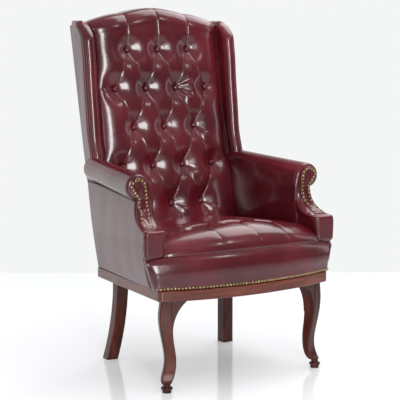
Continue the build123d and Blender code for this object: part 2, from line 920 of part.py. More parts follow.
def pad_point(x, z, depth):
    """Point at a depth behind the pad's front plane."""
    slant = hypot(1, pad_front_slope)
    return Vector(x, pad_y(z) + depth / slant, z - depth * pad_front_slope / slant)


def channel(start, end):
    """V-shaped cutter along the pad's front plane between two places."""
    outward = Vector(0, -1, pad_front_slope).normalized()
    a = pad_point(*start, 0)
    b = pad_point(*end, 0)
    along = (b - a).normalized()
    across = along.cross(outward) * (channel_width / 2)
    rise = outward * channel_depth
    face = polygon_face([a + across * 2 + rise, a - across * 2 + rise, a - rise])
    return extrude(face, amount=(b - a).length, dir=along)


def tuft_cutters():
    """Dimples at the buttons and the channels between them, up over the crest, down and out to the sides."""
    outward = Vector(0, -1, pad_front_slope).normalized()
    places = button_places()
    cutters = []
    for x, z, _ in places:
        plane = Plane(origin=pad_point(x, z, tuft_depth), x_dir=(1, 0, 0), z_dir=outward)
        widening = (tuft_radius - tuft_floor_radius) / tuft_depth
        cone = Cone(
            tuft_floor_radius,
            tuft_floor_radius + widening * 2 * tuft_depth,
            2 * tuft_depth,
            align=(Align.CENTER, Align.CENTER, Align.MIN),
        )
        cutters.append(plane * cone)
    for x, z, row in places:
        for other_x, other_z, other_row in places:
            if other_row == row + 1 and abs(other_x - x) < button_pitch:
                cutters.append(channel((x, z), (other_x, other_z)))
        if row == 0:
            cutters.append(channel((x, z), (x, pad_foot_level - overrun)))
        if row == button_row_count - 1:
            cutters.append(channel((x, z), (x, chair_height + overrun)))
        if row % 2 and abs(x) > button_pitch:
            cutters.append(channel((x, z), (x / abs(x) * (pad_half_width + overrun), z)))
    return cutters


def back_pad_blank():
    """Back pad with its rolled crest over the top edge of the outside back."""
    high = chair_height + overrun
    limit = chair_depth / 2 - rail_edge_round
    points = [
        (lean_y(0, pad_foot_level), pad_foot_level),
        (pad_y(pad_foot_level), pad_foot_level),
        (pad_y(high), high),
        (limit, high),
        (limit, back_top_level),
    ]
    body = side_prism(points, (-pad_half_width, pad_half_width))
    body = body & extrude(crest_face(0, 0), amount=2 * wide, dir=(0, 1, 0))
    crown = body.faces().sort_by(Axis.Z)[-1]
    body = fillet(crown.edges().sort_by(Axis.Y)[-1:], crest_rear_round)
    crown = body.faces().sort_by(Axis.Z)[-1]
    body = fillet(crown.edges().sort_by(Axis.Y)[:1], crest_front_round)
    behind = leaning_slab(-overrun, back_panel_thickness + strap_thickness, (0, high), (-wide, wide))
    return body - (behind & rear_outline())


def back_buttons():
    """Covered buttons on the floors of the dimples."""
    outward = Vector(0, -1, pad_front_slope).normalized()
    buttons = []
    for x, z, _ in button_places():
        plane = Plane(origin=pad_point(x, z, tuft_depth), x_dir=(1, 0, 0), z_dir=outward)
        buttons += (plane * dome(button_radius, button_height)).solids()
    return Compound(children=buttons)


def rear_outline():
    """Rear view of the outside back with its arched top, carried along Y."""
    side = back_top_level - crest_fall
    face = loop_face(
        Line((-rear_half_width, -wide, rail_top), (rear_half_width, -wide, rail_top)),
        Line((rear_half_width, -wide, rail_top), (wing_rear_x, -wide, side)),
        crest_line(wing_rear_x, back_top_level),
        Line((-wing_rear_x, -wide, side), (-rear_half_width, -wide, rail_top)),
    )
    return extrude(face, amount=2 * wide, dir=(0, 1, 0))


def outside_back():
    """Flat outside back between the rear corners."""
    return rear_outline() & leaning_slab(0, back_panel_thickness, (rail_top, chair_height), (-wide, wide))


# Seat upholstery

def border_blank():
    """Front border between the show rail and the seat seam, fuller at mid height."""
    levels = (rail_top, rail_top + border_height * border_bulge_share, border_top)
    steps = (border_foot_step, border_bulge_step, border_top_step)
    flares = (border_foot_flare, border_bulge_flare, border_top_flare)
    faces = [seat_face(-step, flare, 0, level) for level, step, flare in zip(levels, steps, flares)]
    return loft(faces, ruled=True)


def front_border():
    """Border padding over the front of the seat frame."""
    body = border_blank()
    body -= seat_prism(frame_inset, rail_top, frame_top)
    body -= seat_prism(border_shelf, rail_top, border_top + overrun)
    body -= seat_prism(frame_inset + frame_width - strap_hold, frame_top, web_top)
    return body & block((-wide, wide), (-wide, border_rear_y), (0, chair_height))


def seat_tufts():
    """Places of the seat's tufts as x, y and the fan angle of the crease in front."""
    y = front_y + seat_tuft_setback
    return [(hand * seat_tuft_spacing, y, hand) for hand in (-1, 0, 1)]


def seat_top(x, y):
    """Height of the seat's crown over a place in plan."""
    radius = (seat_half_width**2 + seat_side_drop**2) / (2 * seat_side_drop)
    tilt = sin(radians(seat_fall_angle)) * (y - front_y - seat_tuft_setback)
    return seat_crown_height - bow_fall(radius, x) - tilt


def seat_pad_blank():
    """Crowned seat with a rounded front, dimples at the tufts and creases down to the seam."""
    plan_step = front_half_width - seat_half_width
    foot = seat_face(-border_top_step, -plan_step, -frame_inset, web_top)
    plan = extrude(foot, amount=wide, dir=(0, 0, 1))
    y = front_y + seat_tuft_setback
    side_z = seat_crown_height - seat_side_drop
    right_side = (seat_half_width, y, side_z)
    left_side = (-seat_half_width, y, side_z)
    arch = loop_face(
        Line((-wide, y, 0), (wide, y, 0)),
        Line((wide, y, 0), (wide, y, side_z)),
        Line((wide, y, side_z), right_side),
        ThreePointArc(right_side, (0, y, seat_crown_height), left_side),
        Line(left_side, (-wide, y, side_z)),
        Line((-wide, y, side_z), (-wide, y, 0)),
    )
    fall = radians(seat_fall_angle)
    along = Vector(0, cos(fall), -sin(fall))
    crown = extrude(arch, amount=wide, dir=along) + extrude(arch, amount=wide, dir=-along)
    body = plan & crown
    top = body.faces().sort_by(Axis.Z)[-1]
    body = fillet(top.edges().sort_by(Axis.Y)[:1], seat_front_round)
    for x, tuft_y, hand in seat_tufts():
        level = seat_top(x, tuft_y)
        cone = Cone(
            button_radius,
            button_radius + 2 * (seat_tuft_radius - button_radius),
            2 * seat_tuft_depth,
            align=(Align.CENTER, Align.CENTER, Align.MIN),
        )
        body -= Pos(x, tuft_y, level - seat_tuft_depth) * cone
        body -= seat_crease(x, tuft_y, hand)
    return body


def seat_crease(x, y, hand):
    """Cutter for the crease from a tuft over the front edge to the seam."""
    shift = bow_fall(bow_radius - border_top_step, abs(x) + abs(hand) * overrun)
    top = seat_top(x, y) - seat_crease_depth
    front = front_y + border_top_step + shift
    centre_y = front + seat_front_round
    radius = seat_front_round - seat_crease_depth
    centre_z = top - radius
    x_side = -seat_crease_width / 2
    diagonal = radius * sin(pi / 4)
    edge_y = centre_y - radius
    start = (x_side, y, top)
    bend = (x_side, centre_y, top)
    middle = (x_side, centre_y - diagonal, centre_z + diagonal)
    edge = (x_side, edge_y, centre_z)
    outside = (x_side, edge_y - overrun, centre_z)
    outside_high = (x_side, edge_y - overrun, top + overrun)
    high = (x_side, y, top + overrun)
    face = loop_face(
        Line(start, bend),
        ThreePointArc(bend, middle, edge),
        Line(edge, outside),
        Line(outside, outside_high),
        Line(outside_high, high),
        Line(high, start),
    )
    slot = extrude(face, amount=seat_crease_width, dir=(1, 0, 0))
    return Pos(x, 0, 0) * Pos(0, y, 0) * Rot(0, 0, hand * seat_crease_fan) * Pos(0, -y, 0) * slot


def seat_buttons():
    """Covered buttons at the bottoms of the seat's tufts."""
    buttons = []
    for x, y, _ in seat_tufts():
        head = dome(button_radius, button_height)
        buttons += (Pos(x, y, seat_top(x, y) - seat_tuft_depth) * head).solids()
    return Compound(children=buttons)


def border_nails():
    """Row of nails along the foot of the border, round the bow from corner to corner."""
    z = rail_top + border_nail_level
    share = border_nail_level / (border_height * border_bulge_share)
    step = border_foot_step + (border_bulge_step - border_foot_step) * share
    flare = border_foot_flare + (border_bulge_flare - border_foot_flare) * share
    radius = bow_radius - step
    reach = asin((front_half_width + flare) / radius)
    count = int(2 * reach * radius / nail_pitch)
    lean = (border_foot_step - border_bulge_step) / (border_height * border_bulge_share)
    heads = []
    for index in range(count + 1):
        turn = (index / count * 2 - 1) * (reach - nail_radius / radius)
        place = (radius * sin(turn), front_y + step + radius * (1 - cos(turn)), z)
        outward = Vector(sin(turn), -cos(turn), -lean).normalized()
        heads += nail(place, tuple(outward)).solids()
    return Compound(children=heads)


# Build order: what is harder is made first, and softer pieces give way to it

rail_front, rail_right, rail_rear = show_rails()
leg = front_leg()
leg_back = back_leg()
bracket = knee_bracket(leg)
frame_front, frame_right, frame_rear = seat_frame()
holes = leg_bolts(bolt_clearance)
hole_pairs = holes + [mirror(hole, about=Plane.YZ) for hole in holes]

save(rail_front - hole_pairs, "front_rail")
save_pair(rail_right - holes, "side_rail")
save(rail_rear - hole_pairs, "rear_rail")
save_pair(leg - holes, "leg_front")
save_pair(bracket - holes, "knee_bracket")
save_pair(leg_back - holes, "leg_back")
save(frame_front - hole_pairs, "seat_frame_front")
save_pair(frame_right, "seat_frame_side")
save(frame_rear - hole_pairs, "seat_frame_rear")
save(corner_blocks(), "corner_blocks")
bolts = leg_bolts(0)
save(Compound(children=bolts + [mirror(item, about=Plane.YZ) for item in bolts]), "leg_bolts")
save(seat_webbing(), "seat_webbing")

legs = [leg, leg_back, mirror(leg, about=Plane.YZ), mirror(leg_back, about=Plane.YZ)]
brackets = [bracket, mirror(bracket, about=Plane.YZ)]
cover = seat_prism(cover_inset, leg_height - cover_thickness, leg_height)
save(cover - legs - brackets, "dust_cover")

post = back_post()
crest = crest_rail()
lower = lower_rail()
panel_space = outside_sheet(overrun)
stump = arm_stump() - panel_space
rear_sheet = outside_back()
board = arm_board(0) - post - panel_space - wing_panel() - rear_sheet
wing_wood = wing_board() - arm_board(overrun)
posts = [post, mirror(post, about=Plane.YZ)]
save_pair(post, "back_post")
save(crest, "crest_rail")
save(lower, "lower_back_rail")
save_pair(stump, "arm_stump")
save_pair(board, "arm_rail")
save_pair(wing_wood, "wing_frame")
save(back_webbing(), "back_webbing")
save(rear_sheet, "outside_back")

front_pad = arm_front_pad() - stump - board - panel_space
inner_arm = arm_pad() - stump - board - post - wing_wood
facing = arm_facing()
save_pair(front_pad, "arm_front_pad")
save_pair(inner_arm, "arm_pad")
save_pair(facing, "arm_facing")
nails = facing_nails()
save_pair(nails, "facing_nails")

wing_soft = wing_pad_blank() - inner_arm - wing_wood - board - post
wing_skin = wing_panel() - inner_arm
save_pair(wing_soft, "wing_pad")
save_pair(wing_skin, "wing_panel")

outer_arm = outside_sheet(0) - inner_arm - rear_sheet
save_pair(outer_arm, "outside_arm")

both_arms = [front_pad, inner_arm, stump]
both_arms += [mirror(item, about=Plane.YZ) for item in both_arms]
back_soft = back_pad_blank() - tuft_cutters() - posts - crest - lower - both_arms
save(back_soft, "back_pad")
save(back_buttons(), "back_buttons")

border = front_border() - [stump, mirror(stump, about=Plane.YZ)]
save(border, "front_border")
save(border_nails(), "border_nails")
seat_soft = seat_pad_blank() - border - both_arms - back_soft - posts - lower
save(seat_soft, "seat_pad")
save(seat_buttons(), "seat_buttons")
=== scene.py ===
# High-back wing armchair in buttoned dark red leather, dressed around its packed construction model
from math import cos, pi, radians, sin

import bmesh
import bpy
import numpy as np
from mathutils import Matrix, Vector


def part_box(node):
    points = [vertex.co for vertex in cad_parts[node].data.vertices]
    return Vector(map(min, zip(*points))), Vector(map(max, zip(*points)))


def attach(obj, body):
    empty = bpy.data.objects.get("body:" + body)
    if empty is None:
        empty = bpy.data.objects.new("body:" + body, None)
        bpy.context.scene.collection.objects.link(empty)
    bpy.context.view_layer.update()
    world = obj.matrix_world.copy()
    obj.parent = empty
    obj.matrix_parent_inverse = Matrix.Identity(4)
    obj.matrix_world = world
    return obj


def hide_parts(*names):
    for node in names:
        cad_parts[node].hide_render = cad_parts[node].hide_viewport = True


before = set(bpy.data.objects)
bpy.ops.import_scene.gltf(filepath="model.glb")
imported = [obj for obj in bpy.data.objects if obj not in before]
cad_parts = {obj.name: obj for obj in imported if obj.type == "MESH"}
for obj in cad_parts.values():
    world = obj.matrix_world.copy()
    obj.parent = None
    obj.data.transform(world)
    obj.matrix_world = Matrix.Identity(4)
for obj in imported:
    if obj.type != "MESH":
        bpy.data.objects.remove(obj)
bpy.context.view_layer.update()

# Sizes are in millimetres, as in the construction, and the meshes are in metres
MM = 0.001

# Lines of the chair that the coverings follow
RAIL_TOP = 303.0
HIDE_FOOT = RAIL_TOP + 0.5
REAR_Y = 156.5
BACK_RAKE = 178.0 / 784.0
FRONT_Y = -334.5
ARM_FACE_Y = -174.5
ARM_RUN = 329.5
NECK_Z = 560.0
COVE_Y = -259.5
COVE_RADIUS = 85.0
LIP_Z = 475.0
BLOCK_Y = -269.5
ROLL_X = 306.0
ROLL_Z = 591.0
ROLL_RADIUS = 39.0
SIDES = (("right", 1), ("left", -1))


# Shapes: every covering starts as a bmesh grid that is moved into place

def smooth_line(at, stations, values):
    """Value of a smooth curve through a few stations."""
    stations = np.asarray(stations, float)
    values = np.asarray(values, float)
    at = np.clip(at, stations[0], stations[-1])
    slopes = np.gradient(values, stations)
    low = np.clip(np.searchsorted(stations, at, side="right") - 1, 0, len(stations) - 2)
    width = stations[low + 1] - stations[low]
    t = (at - stations[low]) / width
    start = values[low] * (2 * t**3 - 3 * t**2 + 1) + slopes[low] * width * (t**3 - 2 * t**2 + t)
    end = values[low + 1] * (3 * t**2 - 2 * t**3) + slopes[low + 1] * width * (t**3 - t**2)
    return start + end


def ease(t):
    """Soft step from 0 to 1."""
    t = np.clip(t, 0, 1)
    return t * t * (3 - 2 * t)


def lean_y(z, ahead=0.0):
    """Y of the raked back at a height, or of a plane some way ahead of it."""
    return REAR_Y + BACK_RAKE * (z - RAIL_TOP) - ahead


def bow(radius, x):
    """How far a bow of this radius falls back beside the middle."""
    return radius - np.sqrt(radius**2 - x**2)


def ripple(x, y, z, length, seed):
    """Smooth uneven waves of about this length, between -1 and 1, the same in each run."""
    draw = np.random.default_rng(seed)
    total = np.zeros_like(x)
    for _ in range(6):
        way = draw.normal(size=3)
        way /= np.linalg.norm(way)
        phase = draw.uniform(0, 2 * pi)
        total += np.sin((x * way[0] + y * way[1] + z * way[2]) * 2 * pi / length + phase)
    return total / 6


def beside_line(x, y, start, end):
    """Share of the way along a line, and the two offsets from it, for each point."""
    run_x = end[0] - start[0]
    run_y = end[1] - start[1]
    along = ((x - start[0]) * run_x + (y - start[1]) * run_y) / (run_x**2 + run_y**2)
    along = np.clip(along, 0, 1)
    return along, x - start[0] - along * run_x, y - start[1] - along * run_y


def turned_edge(rim, width, depth):
    """How far a covering is drawn in beside its rim."""
    return depth * (1 - np.clip(rim / width, 0, 1)) ** 2


def covering(name, columns, rows, place, outward):
    """Grid of cells whose corners are moved by place, which takes arrays from 0 to 1 across and along."""
    shell = bmesh.new()
    bmesh.ops.create_grid(shell, x_segments=columns, y_segments=rows, size=0.5)
    mesh = bpy.data.meshes.new(name)
    shell.to_mesh(mesh)
    spots = np.empty(len(mesh.vertices) * 3)
    mesh.vertices.foreach_get("co", spots)
    spots = spots.reshape(-1, 3)
    x, y, z = place(spots[:, 0] + 0.5, spots[:, 1] + 0.5)
    mesh.vertices.foreach_set("co", (np.stack([x, y, z], axis=1) * MM).ravel())
    shell.clear()
    shell.from_mesh(mesh)
    lean = sum((face.normal * face.calc_area() for face in shell.faces), Vector())
    if lean.dot(Vector(outward)) < 0:
        bmesh.ops.reverse_faces(shell, faces=shell.faces)
    return shell, mesh


def close_behind(shell, flatten):
    """Carry the open rim to where flatten puts it, fill it there, and turn the closed shell outwards."""
    rim = [edge for edge in shell.edges if edge.is_boundary]
    made = bmesh.ops.extrude_edge_only(shell, edges=rim)["geom"]
    for part in made:
        if isinstance(part, bmesh.types.BMVert):
            part.co = flatten(part.co)
    rear = [part for part in made if isinstance(part, bmesh.types.BMEdge) and part.is_boundary]
    bmesh.ops.holes_fill(shell, edges=rear, sides=0)
    bmesh.ops.recalc_face_normals(shell, faces=shell.faces)
    if shell.calc_volume(signed=True) < 0:
        bmesh.ops.reverse_faces(shell, faces=shell.faces)


def placed(name, data):
    """New object with this data, in the scene."""
    made = bpy.data.objects.new(name, data)
    bpy.context.scene.collection.objects.link(made)
    return made


def finished(shell, mesh, made, node, thickness=None):
    """Object from a shell: smooth, with its material and its body, and the node that it stands for hidden.
    """
    for face in shell.faces:
        face.smooth = True
    shell.to_mesh(mesh)
    shell.free()
    piece = placed(mesh.name, mesh)
    mesh.materials.append(made)
    if thickness:
        wall = piece.modifiers.new("thickness", "SOLIDIFY")
        wall.thickness = thickness * MM
        wall.offset = -1
    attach(piece, "root")
    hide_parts(node)
    return piece


# Materials

def linear(colour):
    """Linear colour from an sRGB hex value."""
    parts = [int(colour[i:i + 2], 16) / 255 for i in (0, 2, 4)]
    return tuple(p / 12.92 if p <= 0.04045 else ((p + 0.055) / 1.055) ** 2.4 for p in parts) + (1.0,)


def connect(tree, node, **sockets):
    """Values of a node's sockets, or the links that come into them."""
    for name, value in sockets.items():
        key = int(name[1:]) if name[0] == "n" and name[1:].isdigit() else name.replace("_", " ")
        socket = node.inputs[key]
        if isinstance(value, bpy.types.NodeSocket):
            tree.links.new(value, socket)
        else:
            socket.default_value = value


def add(tree, kind, settings=(), **sockets):
    """One shader node of a kind, with its settings, and its sockets' values or incoming links."""
    node = tree.nodes.new("ShaderNode" + kind)
    for name, value in dict(settings).items():
        setattr(node, name, value)
    connect(tree, node, **sockets)
    return node


def material(name):
    """Empty node material with its surface shader and the place of each point on the object."""
    made = bpy.data.materials.new(name)
    made.use_nodes = True
    tree = made.node_tree
    tree.nodes.clear()
    shader = add(tree, "BsdfPrincipled")
    add(tree, "OutputMaterial", Surface=shader.outputs["BSDF"])
    return made, tree, shader, add(tree, "TexCoord").outputs["Object"]


def shade(tree, factor, *stops):
    """Colours along a factor, as pairs of position and hex value."""
    ramp = add(tree, "ValToRGB", Fac=factor)
    points = ramp.color_ramp.elements
    points[0].position, points[0].color = stops[0][0], linear(stops[0][1])
    points[1].position, points[1].color = stops[-1][0], linear(stops[-1][1])
    for position, colour in stops[1:-1]:
        points.new(position).color = linear(colour)
    return ramp.outputs["Color"]


def red_leather():
    """Corrected-grain cowhide with a polyurethane film: deep oxblood, glossy, with a fine pressed grain."""
    made, tree, shader, place = material("red_leather")
    cloud = add(tree, "TexNoise", Vector=place, Scale=7.0, Detail=3.0, Roughness=0.55)
    colour = shade(tree, cloud.outputs["Fac"], (0.3, "3C0910"), (0.55, "4D0F18"), (0.75, "5B161F"))
    # Pressed grain is about 1 mm, drawn at 2.6 mm so that it shows
    grain = add(tree, "TexVoronoi", Vector=place, Scale=385.0)
    fine = add(tree, "Bump", Height=grain.outputs["Distance"], Strength=0.1, Distance=0.0003)
    # Slack in the hide is 12 to 30 mm across
    slack = add(tree, "TexNoise", Vector=place, Scale=42.0, Detail=2.0, Roughness=0.5)
    soft = add(tree, "Bump", Height=slack.outputs["Fac"], Strength=0.22, Distance=0.002,
               Normal=fine.outputs["Normal"])
    rough = add(tree, "MapRange", Value=cloud.outputs["Fac"], To_Min=0.2, To_Max=0.3)
    connect(tree, shader, Base_Color=colour, Normal=soft.outputs["Normal"],
            Roughness=rough.outputs["Result"], IOR=1.5, Coat_Weight=0.35, Coat_Roughness=0.08)
    return made


def mahogany():
    """Stained and lacquered mahogany: dark red brown with long straight grain and short pores."""
    made, tree, shader, place = material("mahogany")
    turned = add(tree, "Mapping", Vector=place, Scale=(16.0, 16.0, 2.2))
    figure = add(tree, "TexNoise", Vector=turned.outputs["Vector"], Scale=2.4, Detail=6.0,
                 Roughness=0.62, Distortion=0.4)
    colour = shade(tree, figure.outputs["Fac"], (0.3, "260D09"), (0.5, "3E1710"), (0.72, "5E2719"))
    pores = add(tree, "Mapping", Vector=place, Scale=(420.0, 420.0, 24.0))
    pits = add(tree, "TexNoise", Vector=pores.outputs["Vector"], Scale=1.0, Detail=2.0)
    bump = add(tree, "Bump", Height=pits.outputs["Fac"], Strength=0.08, Distance=0.0002)
    connect(tree, shader, Base_Color=colour, Normal=bump.outputs["Normal"], Roughness=0.26,
            Specular_IOR_Level=0.25)
    return made


def rail_mahogany():
    """The same lacquered mahogany cut along the rail: its grain runs sideways, and the stain is redder."""
    made, tree, shader, place = material("rail_mahogany")
    turned = add(tree, "Mapping", Vector=place, Scale=(2.4, 5.0, 34.0))
    figure = add(tree, "TexNoise", Vector=turned.outputs["Vector"], Scale=2.6, Detail=6.0,
                 Roughness=0.6, Distortion=0.5)
    colour = shade(tree, figure.outputs["Fac"], (0.3, "34110A"), (0.5, "582212"), (0.72, "7A3820"))
    connect(tree, shader, Base_Color=colour, Roughness=0.28, Coat_Weight=0.3, Coat_Roughness=0.06)
    return made


def frame_beech():
    """Sawn beech of the hidden frame: pale tan with short flecks, not varnished."""
    made, tree, shader, place = material("frame_beech")
    turned = add(tree, "Mapping", Vector=place, Scale=(60.0, 60.0, 9.0))
    fleck = add(tree, "TexNoise", Vector=turned.outputs["Vector"], Scale=3.0, Detail=4.0)
    colour = shade(tree, fleck.outputs["Fac"], (0.35, "B68A5E"), (0.65, "D2AC7E"))
    bump = add(tree, "Bump", Height=fleck.outputs["Fac"], Strength=0.2, Distance=0.0003)
    connect(tree, shader, Base_Color=colour, Normal=bump.outputs["Normal"], Roughness=0.62)
    return made


def antique_brass():
    """Stamped brass nail heads, lacquered and browned in the hollows."""
    made, tree, shader, place = material("antique_brass")
    patch = add(tree, "TexNoise", Vector=place, Scale=260.0, Detail=3.0)
    colour = shade(tree, patch.outputs["Fac"], (0.35, "6E5A3C"), (0.55, "A08C64"), (0.7, "CFC09A"))
    rough = add(tree, "MapRange", Value=patch.outputs["Fac"], To_Min=0.42, To_Max=0.2)
    connect(tree, shader, Base_Color=colour, Roughness=rough.outputs["Result"], Metallic=1.0)
    return made


def plated_steel():
    """Zinc-plated steel of the bolts, dull grey."""
    made, tree, shader, place = material("plated_steel")
    patch = add(tree, "TexNoise", Vector=place, Scale=180.0, Detail=2.0)
    colour = shade(tree, patch.outputs["Fac"], (0.3, "8C8F90"), (0.7, "B4B8B8"))
    connect(tree, shader, Base_Color=colour, Metallic=1.0, Roughness=0.38)
    return made


def jute_webbing():
    """Woven jute strapping: warp and weft about 3 mm apart, brown."""
    made, tree, shader, place = material("jute_webbing")
    # At scale 1 the wave texture has a little over 3 bands to the metre
    scale = 1 / 0.003 / 3.3
    warp = add(tree, "TexWave", Vector=place, Scale=scale, Distortion=1.0)
    weft = add(tree, "TexWave", {"bands_direction": "Y"}, Vector=place, Scale=scale, Distortion=1.0)
    weave = add(tree, "Math", {"operation": "MAXIMUM"},
                n0=warp.outputs["Fac"], n1=weft.outputs["Fac"])
    colour = shade(tree, weave.outputs["Value"], (0.2, "6E5334"), (0.9, "A98A5C"))
    bump = add(tree, "Bump", Height=weave.outputs["Value"], Strength=0.5, Distance=0.0006)
    connect(tree, shader, Base_Color=colour, Normal=bump.outputs["Normal"], Roughness=0.9)
    return made


def black_cambric():
    """Thin black dust cloth under the seat, a matt nonwoven with a faint pressed dot."""
    made, tree, shader, place = material("black_cambric")
    dot = add(tree, "TexVoronoi", Vector=place, Scale=330.0)
    colour = shade(tree, dot.outputs["Distance"], (0.1, "111112"), (0.6, "1D1D1F"))
    bump = add(tree, "Bump", Height=dot.outputs["Distance"], Strength=0.3, Distance=0.0003)
    connect(tree, shader, Base_Color=colour, Normal=bump.outputs["Normal"], Roughness=0.85)
    return made


leather = red_leather()
wood = mahogany()
rail_wood = rail_mahogany()
beech = frame_beech()
brass = antique_brass()
steel = plated_steel()
jute = jute_webbing()
cambric = black_cambric()


def finish_node(name, made):
    """Give a construction node its own finish in every material slot."""
    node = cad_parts[name]
    if node.material_slots:
        for held in node.material_slots:
            held.material = made
    else:
        node.data.materials.append(made)


NODE_FINISHES = (
    (wood, ("leg_front_left", "leg_front_right", "leg_back_left", "leg_back_right",
            "knee_bracket_left", "knee_bracket_right")),
    (rail_wood, ("front_rail", "side_rail_left", "side_rail_right", "rear_rail")),
    (beech, ("seat_frame_front", "seat_frame_rear", "seat_frame_side_left", "seat_frame_side_right",
             "corner_blocks", "back_post_left", "back_post_right", "crest_rail", "lower_back_rail",
             "wing_frame_left", "wing_frame_right", "arm_rail_left", "arm_rail_right",
             "arm_stump_left", "arm_stump_right")),
    (brass, ("border_nails", "facing_nails_left", "facing_nails_right")),
    (steel, ("leg_bolts",)),
    (jute, ("seat_webbing", "back_webbing")),
)
for made, names in NODE_FINISHES:
    for name in names:
        finish_node(name, made)


def leather_cover(name, columns, rows, place, outward, node, flatten=None, thickness=None):
    """Leather covering on its grid, closed behind where flatten is given."""
    shell, mesh = covering(name, columns, rows, place, outward)
    if flatten:
        close_behind(shell, flatten)
    return finished(shell, mesh, leather, node, thickness)


# Buttoned back

PAD_HALF = 241.0
PAD_FOOT_Z = 415.0
PAD_CROWN_Y = 135.5
PAD_RAKE = 0.172
PAD_REAR = 7.0
BUTTON_ROWS = (491.0, 614.5, 738.0, 861.5, 985.0)
BUTTON_PITCH = 112.0
BUTTON_RADIUS = 8.6
NEXT_ROW = 130.0

# Crest: long slopes to a rounded peak, a full front, and a smaller turn behind that ends in a short drop
CREST_Z = 1117.0
CREST_HALF = 240.5
CREST_FALL = 40.0
CREST_PLACE_SHARES = (-0.16, 0, 0.16, 0.5, 0.8, 1)
CREST_FALL_SHARES = (0.1, 0, 0.1, 0.45, 0.78, 1)
CREST_ROUND = 50.0
REAR_ROUND = 20.0
REAR_GAP = 0.5
REAR_LEVEL = 30.0
REAR_DROP = 14.0

# Dimples: a wide funnel round each button, and a small pit that the button presses
FUNNEL_RADIUS = 40.0
FUNNEL_DEPTH = 18.0
FUNNEL_POWER = 2.4
PIT_RADIUS = 11.0
PIT_DEPTH = 6.0
BUTTON_SINK = 1.5

# Folds: a wide hollow with a narrow crease in it, shallower midway between two buttons
HOLLOW_REACH = 50.0
HOLLOW_DEPTH = 7.0
CREASE_WIDTH = 2.2
CREASE_DEPTH = 3.0
MIDWAY_SHARE = 0.62
LAP_NEAR = 0.75
LAP_FAR = 1.4

# Folds that leave the field of buttons, as the line where they end and the share of their depth there
FOLD_TOP_Z, FOLD_TOP_SHARE = 1260.0, 0.25
FOLD_FOOT_Z, FOLD_FOOT_SHARE = 380.0, 0.3
FOLD_SIDE_X, FOLD_SIDE_SHARE = 260.0, 0.4

# Loose crinkles beside some buttons, as place, first direction in degrees, spread, count and height
CRINKLES = (
    ((56.0, 861.5), 45.0, 115.0, 2.3, 2.64),
    ((56.0, 614.5), -15.0, 80.0, 1.7, 1.84),
    ((0.0, 491.0), -5.0, 90.0, 2.5, 1.6),
    ((112.0, 491.0), -10.0, 90.0, 2.5, 1.6),
    ((112.0, 738.0), -20.0, 60.0, 1.5, 1.12),
    ((-112.0, 738.0), -60.0, 50.0, 1, 0.96),
    ((-56.0, 861.5), -45.0, 50.0, 1, 0.96),
)
CRINKLE_AWAY = 40.0
CRINKLE_REACH = 22.0
CRINKLE_EDGE = 6.0

# Sides of the pad, which fall away to the wings, and less where the arms press the pad flat and wide
SIDE_START = 136.0
SIDE_WIDTH = 100.0
SIDE_FALL = 50.0
PRESSED_Z = 650.0
PRESSED_RANGE = 70.0
PRESSED_FALL = 28.0
WIDENED_START = 186.0
WIDENED_RANGE = 50.0
WIDENED = 10.0
AHEAD_OF_POST = 38.0


def pad_front_y(z):
    """Y of the pad's crown plane at a height."""
    return PAD_CROWN_Y + PAD_RAKE * (z - BUTTON_ROWS[0])


def crest_z(x):
    """Height of the crest: long slopes that meet in a rounded peak."""
    return CREST_Z - CREST_FALL * smooth_line(np.abs(x) / CREST_HALF, CREST_PLACE_SHARES, CREST_FALL_SHARES)


def button_places():
    """Buttons as x and height, in rows of three and four."""
    places = []
    for row, z in enumerate(BUTTON_ROWS):
        count = 4 if row % 2 else 3
        places += [((index - (count - 1) / 2) * BUTTON_PITCH, z) for index in range(count)]
    return places


def back_folds():
    """Folds of the back as start, end, and the share of their depth at the end."""
    folds = []
    places = button_places()
    for x, z in places:
        for far_x, far_z in places:
            if 0 < far_z - z < NEXT_ROW and abs(far_x - x) < BUTTON_PITCH:
                folds.append(((x, z), (far_x, far_z), 1.0))
        if z == BUTTON_ROWS[-1]:
            folds.append(((x, z), (x, FOLD_TOP_Z), FOLD_TOP_SHARE))
        if z == BUTTON_ROWS[0]:
            folds.append(((x, z), (x, FOLD_FOOT_Z), FOLD_FOOT_SHARE))
        if abs(x) > BUTTON_PITCH:
            folds.append(((x, z), (x / abs(x) * FOLD_SIDE_X, z), FOLD_SIDE_SHARE))
    return folds


def back_dimples(x, z):
    """Depth of the funnels and pits of the back's buttons."""
    depth = np.zeros_like(x)
    for button_x, button_z in button_places():
        away = np.hypot(x - button_x, z - button_z)
        depth = np.maximum(depth, FUNNEL_DEPTH * np.exp(-(away / FUNNEL_RADIUS) ** FUNNEL_POWER))
        depth += PIT_DEPTH * np.exp(-(away / PIT_RADIUS) ** 2)
    return depth


def back_creases(x, z):
    """Depth of the folds' wide hollows, and of the narrow creases in them."""
    hollow = np.zeros_like(x)
    crease = np.zeros_like(x)
    for start, end, end_share in back_folds():
        along, off_x, off_z = beside_line(x, z, start, end)
        away = np.hypot(off_x, off_z)
        if end_share == 1.0:
            share = MIDWAY_SHARE + (1 - MIDWAY_SHARE) * np.abs(2 * along - 1) ** 1.5
        else:
            share = 1 + (end_share - 1) * np.minimum(along * 1.6, 1)
        hollow = np.maximum(hollow, share * HOLLOW_DEPTH * np.clip(1 - away / HOLLOW_REACH, 0, 1) ** 2)
        # One side of each fold laps over the other
        lap = away * np.where(off_x + 0.4 * off_z > 0, LAP_NEAR, LAP_FAR)
        crease = np.maximum(crease, share * CREASE_DEPTH * np.exp(-lap / CREASE_WIDTH))
    return hollow, crease


